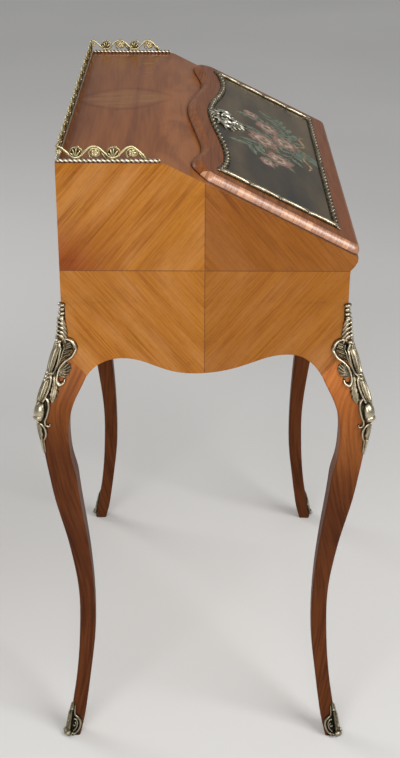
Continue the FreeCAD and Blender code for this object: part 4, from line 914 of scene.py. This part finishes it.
def gallery(name, start, heading, facing, length, falls):
    """One run: rope, band, tendrils and flowers. It starts and may end in a crest."""

    def at(run, height):
        return start + heading * run + UP * height

    casting = Casting(None)
    count = int(length / (0.8 * MM))
    rope = [at(length * index / count, ROPE_RADIUS) for index in range(count + 1)]
    casting.rod(
        rope, [ROPE_RADIUS] * len(rope), around=14, lobes=2, cut=0.26,
        twist=2 * math.pi * length / count / ROPE_TURN)
    casting.piece(name + "_rope", "case", rope_brass, name)

    casting = Casting(None)
    band_end = length - BARE_END if falls else length
    fall_from = band_end - WAVE * 0.36
    band = []
    for index in range(int(length / (2 * MM)) + 1):
        run = min(index * 2 * MM, band_end)
        height = wave_height(run)
        if falls and run > fall_from:
            share = (run - fall_from) / (band_end - fall_from)
            height = wave_height(fall_from) * (1 - share) ** 0.8 + 2 * ROPE_RADIUS * share
        band.append(at(run, height))
    casting.rod(band, [BAND] * len(band))

    def tendril(eye, wide, first, turn, thick):
        """A stem that winds in round an eye; angles in degrees."""
        stem, radii = [], []
        for index in range(TENDRIL_STEPS + 1):
            share = index / TENDRIL_STEPS
            angle = math.radians(first + turn * share)
            reach = wide - 3.4 * MM * share
            stem.append(eye + (heading * math.cos(angle) + UP * math.sin(angle) * 0.86) * reach)
            radii.append(thick * (1 - 0.42 * share))
        casting.rod(stem, radii, around=6)

    rosette(casting, at(3 * MM, 14.5 * MM), 3.6 * MM, facing)
    last = band_end - 12 * MM if falls else length - 5 * MM
    for half in range(1, int(round(2 * band_end / WAVE)) + 1):
        centre = half * WAVE / 2
        if centre > last:
            continue
        if half % 2:
            for lean, tip in ((-8.5, 15.0), (-4.0, 20.5), (1.5, 22.0), (6.5, 17.0)):
                leaf_rod(
                    casting, at(centre, 8 * MM), at(centre + lean * MM, tip * MM),
                    (1.0, 2.7, 3.3, 2.5, 0.7), 0.25)
            casting.rod(
                [at(centre + (4 + turn) * MM, 21.4 * MM) for turn in (-1.6, -0.8, 0.8, 1.6)],
                [radius * MM for radius in (0.6, 1.8, 1.8, 0.6)])
            tendril(at(centre, 14.0 * MM), 10.4 * MM, -40, 230, 1.0 * MM)
        else:
            eye = at(centre + 1 * MM, 13.4 * MM)
            rosette(casting, eye, 5.2 * MM, facing)
            tendril(eye, 8.8 * MM, 235, -330, BAND * 0.95)
            leaf_rod(
                casting, at(centre + 9 * MM, 15 * MM), at(centre + 17 * MM, 4.8 * MM),
                (0.9, 2.4, 2.8, 2.1, 0.8), 0.3)
    casting.piece(name + "_scrollwork", "case", scroll_brass, name)


rail_x, rail_y = half_width - RAIL_INSET, half_depth - RAIL_INSET
for side, sign in (("left", -1), ("right", 1)):
    gallery(
        "gallery_" + side, Vector((sign * rail_x, rail_y, top_level)), Vector((0, -1, 0)),
        Vector((sign, 0, 0)), rail_y - gallery_front, True)
gallery(
    "gallery_back", Vector((-rail_x, rail_y, top_level)), Vector((1, 0, 0)), Vector((0, 1, 0)),
    2 * rail_x, False)

# %% [markdown]
# ## The frame of the picture panel
# The panel is held by a brass moulding. Up the sides it is a bundle of long
# leaves bound by ribbons every four centimetres; along the serpentine top and
# the foot it is a chain of short overlapping leaves, with a broad leaf over each
# mitre.

# %% Moulding of the fall
FRAME_HALF = 6.0
VALLEY_X, VALLEY, APEX, CORNER = 205.0, 213.0, 238.0, 225.5
frame_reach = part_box("fall_moulding_right")[1][0] / MM
frame_start = (Vector(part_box("fall_moulding_bottom")[0]) - hinge).dot(ALONG) / MM


def top_line(across):
    """The serpentine outer line of the moulding, in millimetres up the slope."""
    aside = abs(across)
    if aside < VALLEY_X:
        return VALLEY + (APEX - VALLEY) * (1 + math.cos(math.pi * aside / VALLEY_X)) / 2
    share = min((aside - VALLEY_X) / (frame_reach - VALLEY_X), 1.0)
    return VALLEY + (CORNER - VALLEY) * share * share


def fall_bed(across, along, off):
    return on_fall(across, along, FALL_THICKNESS + off)


def leaf_chain(casting, centre, total, pitch):
    """Short leaves, each over the root of the next, with a bead between, along a curve."""
    count = max(int(round(total / pitch)), 1)
    for index in range(count):
        begin, end = index / count, (index + 1.15) / count
        places = [
            centre(min(begin + (end - begin) * share, 1.0)) for share in (0, 0.3, 0.6, 0.85, 1.0)]
        rows = with_section(places, (1.6, 4.6, 5.4, 3.6, 0.8), (1.8, 3.6, 4.8, 4.4, 2.6))
        casting.stroke(LEAF, *rows, lobes=3, cut=0.42)
        casting.dome(*centre(min(end - 0.08 / count, 1)), 1.7, 1.7, 5)


def bound_reeds(casting, centre, total, pitch):
    """Two long reeds, swelling between ribbon ties."""
    count = max(int(round(total / pitch)), 1)
    for index in range(count):
        places = [centre((index + share) / count) for share in (0, 0.12, 0.5, 0.88, 1.0)]
        for aside, halves, heights in (
                (-2.9, (1.4, 2.2, 2.7, 2.2, 1.4), (2.8, 4.2, 5.0, 4.2, 2.8)),
                (2.9, (1.4, 2.0, 2.4, 2.0, 1.4), (2.2, 3.4, 4.0, 3.4, 2.2))):
            aside_places = [(x + aside, y) for x, y in places]
            casting.stroke(ROUND, *with_section(aside_places, halves, heights), steps=6)
        (x, low), (_, high) = places[:2]
        for lean in (5.4, -5.4):
            casting.stroke(
                ROUND, (x - lean, low - 2, 1.1, 3), (x, (low + high) / 2, 1.4, 5),
                (x + lean, high + 2, 1.1, 3))


side_x = frame_reach - FRAME_HALF
foot = frame_start + FRAME_HALF
side_length = top_line(frame_reach) - FRAME_HALF - foot
for side, sign in (("left", -1), ("right", 1)):
    casting = Casting(fall_bed)

    def centre(share, sign=sign):
        return sign * side_x, foot + side_length * share

    casting.stroke(UNDERLAY, *[(*centre(share), 6.2, 8) for share in (-0.02, 0.5, 1.02)])
    bound_reeds(casting, centre, side_length, 43)
    casting.piece("fall_frame_" + side, "fall", gilt, "fall_moulding_" + side)

for side, toward, height_at in (
        ("bottom", 1, lambda x: foot), ("top", -1, lambda x: top_line(x) - FRAME_HALF)):
    casting = Casting(fall_bed)

    def line(share, height_at=height_at):
        return (2 * share - 1) * side_x, height_at((2 * share - 1) * side_x)

    casting.stroke(UNDERLAY, *[(*line(share / 16), 5.4, 8) for share in range(17)], steps=3)
    for sign in (1, -1):
        leaf_chain(casting, lambda share: line(0.5 + sign * share / 2), side_x, 15)
    for sign in (-1, 1):
        x, y = line((sign + 1) / 2)
        casting.stroke(
            LEAF, (x + sign * 7, y - toward * 6, 1.4, 2), (x, y, 6.2, 5),
            (x - sign * 8, y + toward * 7, 5, 4.4), (x - sign * 14, y + toward * 13, 0.8, 1.6),
            lobes=4, cut=0.4)
    casting.piece("fall_frame_" + side, "fall", gilt, "fall_moulding_" + side)

# %% [markdown]
# ## Keyhole plate of the fall
# A rocaille plate hangs from the frame's apex: a shell, two C-scrolls that don't
# match, and a spray of leaves that trails down over the painted panel, round a
# plain keyhole.

# %% Fall escutcheon
KEY_ALONG = 204.0
casting = Casting(fall_bed)
casting.stroke(UNDERLAY, (0, 214, 8, 6), (0, 204, 10, 6), (0, 192, 6, 6))
casting.dome(0, KEY_ALONG, 4.6, 6.4, 2.6)
casting.dome(0, KEY_ALONG + 1.5, 2, 2, 3.8)
for lean, reach in ((-11, 8), (-6, 11), (0, 12.5), (6, 11), (11, 8)):
    casting.stroke(
        DISH, (lean * 0.3, 222, 1.6, 3), (lean * 0.8, 222 + reach * 0.6, 3, 5),
        (lean * 1.2, 222 + reach, 1.4, 3))
for flip, size in ((1, 1.0), (-1, 1.14)):
    casting.stroke(
        ROUND, (4, 219, 1.6, 3.4), (14 * size, 221, 2.4, 4.8), (26 * size, 217, 2.6, 5),
        (35 * size, 209, 2.4, 4.6), (35 * size, 201, 2, 4), (29 * size, 199, 1.5, 3.2),
        (26 * size, 203, 1.1, 2.6), flip=flip)
    casting.stroke(
        ROUND, (7, 214, 1.5, 3.4), (13 * size, 208, 2, 4.6), (14 * size, 199, 2, 4.6),
        (9 * size, 192, 1.8, 4.2), (5 * size, 190, 1.4, 3.2), flip=flip)
    casting.stroke(ROUND, *spiral(19 * size, 207, 5, -1, 90, 1.4, 3.6), flip=flip)
    for root, tip, wide in (
            ((27, 216), (40, 221), 3.6), ((34, 207), (46, 206), 3.8), ((31, 200), (41, 193), 3.4),
            ((20, 198), (27, 188), 3.8), ((12, 192), (19, 180), 4.0), ((17, 219), (22, 229), 3.4)):
        middle = ((root[0] + tip[0]) / 2 * size, (root[1] + tip[1]) / 2 + 0.6)
        casting.stroke(
            LEAF, (root[0] * size, root[1], 1.6, 3), (*middle, wide, 4.6),
            (tip[0] * size, tip[1], 0.6, 1.6), lobes=4, cut=0.45, flip=flip)
for rows in (
        [(0, 196, 2.6, 3.4), (2, 187, 4.6, 5.0), (-1, 178, 3.4, 4.2), (3, 168, 0.6, 1.6)],
        [(1, 190, 2.0, 3.4), (8, 183, 3.6, 4.6), (13, 175, 2.6, 3.6), (19, 169, 0.6, 1.6)],
        [(-1, 188, 2.0, 3.4), (-8, 181, 3.4, 4.4), (-11, 173, 0.6, 1.6)]):
    casting.stroke(LEAF, *rows, lobes=5, cut=0.45)
casting.piece("fall_keyhole_rocaille", "fall", shell_brass, "fall_escutcheon")

# %% [markdown]
# ## The painted spray
# On the dark ground lies a loose spray of flowers and leaves in greyed greens,
# faded pinks and ochres. Each touch of the brush is a stroke like those of the
# brass, but a hair thick, and its paint thins out towards its edges: the same
# "hollow" value that darkens the brass makes the paint transparent there.

# %% Painted spray
def oil_paint(name, pale_tone, dark_tone, cover):
    """Thin oil paint, mottled, that fades at the edges of each touch."""
    oil = Finish("paint_" + name)
    mottle = oil.noise(oil.place, scale=150.0)
    tone = oil.ramp(mottle, [(0.36, dark_tone), (0.62, pale_tone)])
    body = ((1 - oil.hollow()) * cover * (mottle * 1.1 + 0.35)).held()
    return oil.surface(
        Base_Color=tone, Roughness=0.3 + mottle * 0.15, Alpha=body, Coat_Weight=0.45,
        Coat_Roughness=0.14, Specular_IOR_Level=0.25)


def touches(name, strokes, *paint):
    """One colour's strokes as a film on the panel."""
    casting = Casting(fall_bed)
    for rows in strokes:
        casting.stroke(ROUND, *rows)
    casting.piece("painted_" + name, "fall", oil_paint(*paint), slot="picture_varnish")


LEAF_FORM = ((0, 0.15, 0), (0.3, 0.9, 1.0), (0.6, 1.0, 1.4), (0.85, 0.55, 0.8), (1, 0.08, 0))


def leaf_touch(root, angle, length, half):
    """A leaf-shaped touch from its root, heading at an angle in degrees."""
    across, along = math.cos(math.radians(angle)), math.sin(math.radians(angle))
    return [
        (
            root[0] + across * length * share, root[1] + along * length * share + bow,
            half * fullness, FILM)
        for share, fullness, bow in LEAF_FORM]


def petal_ring(centre, reach, count, begin, half):
    """Touches that curve round a flower's heart."""
    ring = []
    for petal in range(count):
        start = begin + 360 * petal / count
        ring.append([
            (
                centre[0] + reach * math.cos(math.radians(start + turn)),
                centre[1] + reach * 0.8 * math.sin(math.radians(start + turn)), half * fullness,
                FILM * 2)
            for turn, fullness in ((-34, 0.3), (-12, 1.0), (12, 1.0), (34, 0.3))])
    return ring


FILM = 0.05
SPRAY_TIE = (46.0, 78.0)
STEMS = (
    ((-118, 134), (-40, 96)), ((-78, 168), (-14, 132)), ((12, 176), (22, 128)),
    ((104, 158), (84, 116)), ((146, 110), (98, 88)), ((2, 62), (22, 66)))
dice = random.Random(11)
stems, leaves, lights = [], [], []
for tip, bend in STEMS:
    run = smooth([SPRAY_TIE, bend, tip], 8)
    stems.append([(*place, 1.3 - index / len(run), FILM) for index, place in enumerate(run)])
    for index in range(3, len(run) - 1, 2):
        heading = math.degrees(
            math.atan2(run[index + 1][1] - run[index][1], run[index + 1][0] - run[index][0]))
        for side in (1, -1):
            length = dice.uniform(24, 40)
            angle = heading + side * dice.uniform(28, 58)
            leaves.append(leaf_touch(run[index], angle, length, length * 0.20))
            lights.append(leaf_touch(run[index], angle + 2 * side, length * 0.75, length * 0.08))
FLOWERS = (
    ((-78, 116), 20), ((-10, 140), 23), ((72, 130), 19), ((32, 100), 21), ((-122, 138), 12),
    ((112, 158), 12))
pinks, roses, hearts = [], [], []
for centre, reach in FLOWERS:
    roses += petal_ring(centre, reach, 6, dice.uniform(0, 60), reach * 0.46)
    pinks += petal_ring(centre, reach * 0.62, 5, dice.uniform(0, 60), reach * 0.36)
    hearts += petal_ring(centre, reach * 0.24, 3, dice.uniform(0, 90), reach * 0.22)
ribbon = [
    [
        (44, 76, 1.4, FILM), (24, 64, 3.4, FILM), (-8, 70, 2.6, FILM), (-34, 58, 3.2, FILM),
        (-60, 64, 0.6, FILM)],
    [(48, 76, 1.4, FILM), (72, 62, 3.4, FILM), (102, 70, 2.6, FILM), (124, 58, 0.6, FILM)],
    [
        (46, 80, 1.6, FILM), (30, 86, 3.2, FILM), (38, 74, 1.6, FILM), (58, 86, 3.2, FILM),
        (46, 78, 1.4, FILM)]]
touches("leaves", stems + leaves, "leaf_green", (0.150, 0.185, 0.105), (0.060, 0.080, 0.045), 1.2)
touches("leaf_lights", lights, "pale_green", (0.40, 0.46, 0.35), (0.22, 0.27, 0.19), 1.1)
touches("petals", roses, "old_rose", (0.38, 0.20, 0.135), (0.19, 0.095, 0.062), 1.1)
touches("petal_lights", pinks, "pale_pink", (0.56, 0.41, 0.31), (0.36, 0.22, 0.155), 1.1)
touches(
    "ribbon_and_hearts", hearts + ribbon, "ochre", (0.46, 0.31, 0.13), (0.26, 0.155, 0.055), 1.0)

# %% [markdown]
# ## Knee mounts
# Each knee carries a mount wrapped round the leg's outer corner, with the same
# ornament on both faces. The leg's corner moves in and out with the height, so
# the bed first feels for it: rays shot at the leg and panels along the diagonal
# tell how far the corner stands out at every level.

# %% The corner that a mount wraps
feeler = bmesh.new()
for name in ("leg_front_left", "side_panel_left", "front_frame"):
    feeler.from_mesh(nodes[name].data)
corner_tree = BVHTree.FromBMesh(feeler)
feeler.free()
SEAM_LEVEL = 680.5 * MM
EDGE_ROUND = 3.5 * MM
LEVEL_STEP = 4 * MM
ROUNDED_BY = EDGE_ROUND * (1 - math.cos(math.pi / 4))
corner_reach = []
for index in range(int(0.78 / LEVEL_STEP)):
    level = max(index * LEVEL_STEP, 0.5 * MM)
    away = Vector((-half_width - 0.15, -half_depth - 0.15, level))
    hit = corner_tree.ray_cast(away, Vector((1, 1, 0)).normalized())[0]
    corner_reach.append(-hit.x - half_width + (ROUNDED_BY if level < SEAM_LEVEL else 0.0))
print("corner stands out", [round(reach / MM, 1) for reach in corner_reach[::24]], "mm")


def corner_bed(sign_x, sign_y):
    """Bed round a leg's corner: aside along its faces, up the leg, and off them."""
    def bed(aside, level, off):
        place = min(max(level / LEVEL_STEP, 0), len(corner_reach) - 1.001)
        below = int(place)
        reach = corner_reach[below] + (
            corner_reach[below + 1] - corner_reach[below]) * (place - below)
        x, y = half_width + reach, half_depth + reach
        quarter = EDGE_ROUND * math.pi / 4
        if abs(aside) <= quarter:
            angle = math.pi / 4 * (1 - aside / quarter)
            x += (EDGE_ROUND + off) * math.cos(angle) - EDGE_ROUND
            y += (EDGE_ROUND + off) * math.sin(angle) - EDGE_ROUND
        elif aside > 0:
            x, y = x + off, y - EDGE_ROUND - (aside - quarter)
        else:
            x, y = x - EDGE_ROUND - (-aside - quarter), y + off
        return Vector((sign_x * x, sign_y * y, level))
    return bed


# %% [markdown]
# From the top: a button, a husk gadrooned aslant, a reeded spine down the corner,
# an S-scroll that opens round a fluted shell and closes in a curl, acanthus, an
# oval boss between two small scrolls, a pendant leaf and a tapering tail.

# %% Knee mounts
def knee_mount(casting):
    casting.stroke(
        UNDERLAY, (0, 742, 4, 9), (0, 724, 6, 10), (0, 704, 9.5, 10), (0, 690, 7, 10),
        (0, 640, 7, 10), (0, 600, 6, 10), (0, 560, 4, 9))
    casting.dome(0, 747, 5.2, 3.2, 6.5)
    casting.dome(0, 740.5, 4, 3.4, 5)
    casting.dome(0, 734.5, 5, 3.2, 5.6)
    casting.dome(0, 729, 4.2, 2.8, 5)
    for low, reach in ((722, 6.5), (715.5, 8.0), (709, 9.5), (702.5, 10.5), (697, 10.0)):
        casting.pair(
            ROUND, (reach, low - 6, 1.3, 2.2), (reach * 0.62, low, 2.4, 5.2),
            (0.6, low + 7, 2, 6.4))
    casting.dome(0, 694, 3.6, 3, 6.6)
    casting.stroke(REEDS, (0, 690, 2, 5.4), (0, 676, 3, 7.4), (0, 660, 2.8, 7.4), (0, 650, 1.4, 6))
    casting.stroke(
        REEDS, (0, 645, 1.6, 6), (0, 634, 2.8, 7.4), (0, 620, 2.6, 7.2), (0, 613, 1.4, 6))
    casting.pair(
        ROUND, (1.4, 692, 1, 5.4), (3.4, 682, 1.9, 7.6), (5, 668, 2.1, 8), (4, 655, 1.6, 7.4),
        (1, 647, 1, 6))
    casting.pair(
        ROUND, (7, 690, 0.9, 4.4), (7.6, 680, 1.2, 5.4), (7.4, 668, 1.3, 5.4), (5.4, 656, 0.9, 4.6))
    casting.pair(
        ROUND, (3, 696, 1.8, 4), (11, 697.5, 2.1, 5.6), (19, 693, 2.7, 6.6), (24, 684, 3, 7),
        (22.5, 674, 2.7, 6.8), (15, 667, 2.3, 6.4), (10, 659, 2.3, 6.6), (9.6, 649, 2.5, 6.8),
        (12, 640, 2.8, 7), (17, 635.5, 3, 6.8), (22, 638, 2.6, 6), (22, 643, 1.6, 4.6))
    casting.pair(UNDERLAY, (4, 692, 3, 9), (12, 684, 8.4, 9), (11, 672, 4, 9))
    for reach, root, tip in ((12, 690, 2.8), (15, 684, 3.2), (14, 677.5, 3.0), (9, 671, 2.6)):
        casting.pair(
            DISH, (5, root - 5, 0.9, 3), (5 + reach * 0.5, root - 2, tip * 0.8, 5),
            (5 + reach, root, tip, 4.4))
    casting.pair(UNDERLAY, (12, 654, 3, 8), (18, 654, 7.4, 8), (24, 656, 3, 8))
    casting.pair(
        UNDERLAY, (5, 656, 2.5, 8), (7, 640, 4.6, 8), (9, 620, 4.6, 8), (7, 600, 4.6, 8),
        (4, 582, 3.2, 8))
    for tip_x, tip_z in ((18, 664), (23, 662.5), (26, 657.5), (26, 651), (22.5, 646)):
        casting.pair(
            DISH, (11, 650, 1.6, 3.6), ((11 + tip_x) / 2, (650 + tip_z) / 2, 2.6, 5.2),
            (tip_x, tip_z, 2.6, 4.6))
    casting.pair(
        ROUND, (1.2, 648, 1.2, 6), (3.6, 640, 2, 7.4), (4.2, 626, 2.1, 7.8), (2.6, 613, 1.5, 7))
    casting.pair(
        LEAF, (6, 646, 2.4, 4.4), (10, 637, 5.2, 5.6), (12.5, 627, 7.4, 5.8), (14.5, 617, 6.6, 5),
        (16, 610, 1, 2.6), lobes=6, cut=0.34)
    casting.pair(
        ROUND, (4, 618, 1.8, 5.6), (9.5, 613, 2.2, 6.4), (12, 604, 2.4, 6.6), (10.5, 593, 2.3, 6.2),
        (7.5, 584, 2.1, 5.8), (8, 577, 1.9, 5.2), (12.5, 574.5, 1.7, 4.6), (14.5, 578, 1.1, 3.6))
    casting.pair(
        ROUND, (1, 580, 1.5, 4.6), (6.6, 571, 2.3, 5.6), (7, 561, 2.1, 5.2), (3, 551, 1.2, 3.6))
    for level in (651, 646, 641):
        casting.dome(0, level, 2.8, 2.4, 8.8)
    casting.dome(0, 597, 7.8, 15, 8.6, around=20)
    casting.dome(0, 589, 5.2, 6.4, 10.3)
    casting.stroke(
        LEAF, (0, 577, 1.8, 4.6), (0, 566, 4.2, 5.8), (0, 556, 3.4, 4.8), (0, 549, 1.4, 3.6),
        lobes=3, cut=0.3)
    casting.stroke(
        REEDS, (0, 552, 4.8, 4.2), (0, 542, 4.4, 3.8), (0, 532, 3.2, 2.8), (0, 527, 1.4, 2))


# %% [markdown]
# ## Sabots
# The feet stand in sabots: a leaf down the corner, and on each face a plate with
# a scroll that swells from the tip, rolls under and ends in a curl at the toe.

# %% Sabots
def sabot(casting):
    casting.stroke(
        LEAF, (0, 1, 2.6, 6), (0, 12, 2.4, 6.4), (0, 22, 2.2, 6), (0, 32, 1.9, 4.8),
        (0, 42, 1.3, 3.4))
    casting.dome(0, 6.5, 4.2, 5.6, 9.4)
    casting.dome(0, 47, 2.6, 3, 4.2)
    casting.stroke(LEAF, (0, 46, 2.2, 3.6), (0, 54, 2, 3.2), (0, 62, 0.5, 1.4))
    casting.pair(
        UNDERLAY, (8, 1, 7.4, 8), (8.6, 12, 7.6, 8), (8.2, 26, 6.6, 8), (4.6, 36, 4, 8),
        (2.4, 48, 2.4, 6))
    casting.pair(
        ROUND, (3.4, 55, 0.8, 2.4), (4.2, 46, 1.4, 3.6), (5.6, 38.5, 1.6, 4.4), (10.5, 34, 1.9, 5),
        (15, 28, 2.1, 5.2), (16.4, 19, 2.2, 5.4), (13.4, 9.5, 2.3, 5.6), (7, 4, 2.3, 6))
    casting.pair(
        ROUND, (4.6, 31, 1.2, 4), (8.4, 30, 1.6, 4.8), (11.4, 24, 1.7, 5), (10.6, 15.5, 1.8, 5.2),
        (6.5, 10, 1.6, 5.4))
    casting.pair(ROUND, *spiral(6.6, 21.5, 3.4, -0.9, 80, 1.3, 4.6))
    casting.pair(ROUND, *spiral(5.6, 6.2, 3.2, 1, -60, 1.2, 7.6))


for name, build, finish in (("knee_mount", knee_mount, gilt), ("sabot", sabot, dark_sabot_metal)):
    for depth_name, sign_y in (("front", -1), ("back", 1)):
        for side, sign_x in (("left", -1), ("right", 1)):
            casting = Casting(corner_bed(sign_x, sign_y))
            build(casting)
            place = f"{depth_name}_{side}"
            casting.piece(f"{name}_brass_{place}", "case", finish, f"{name}_{place}")
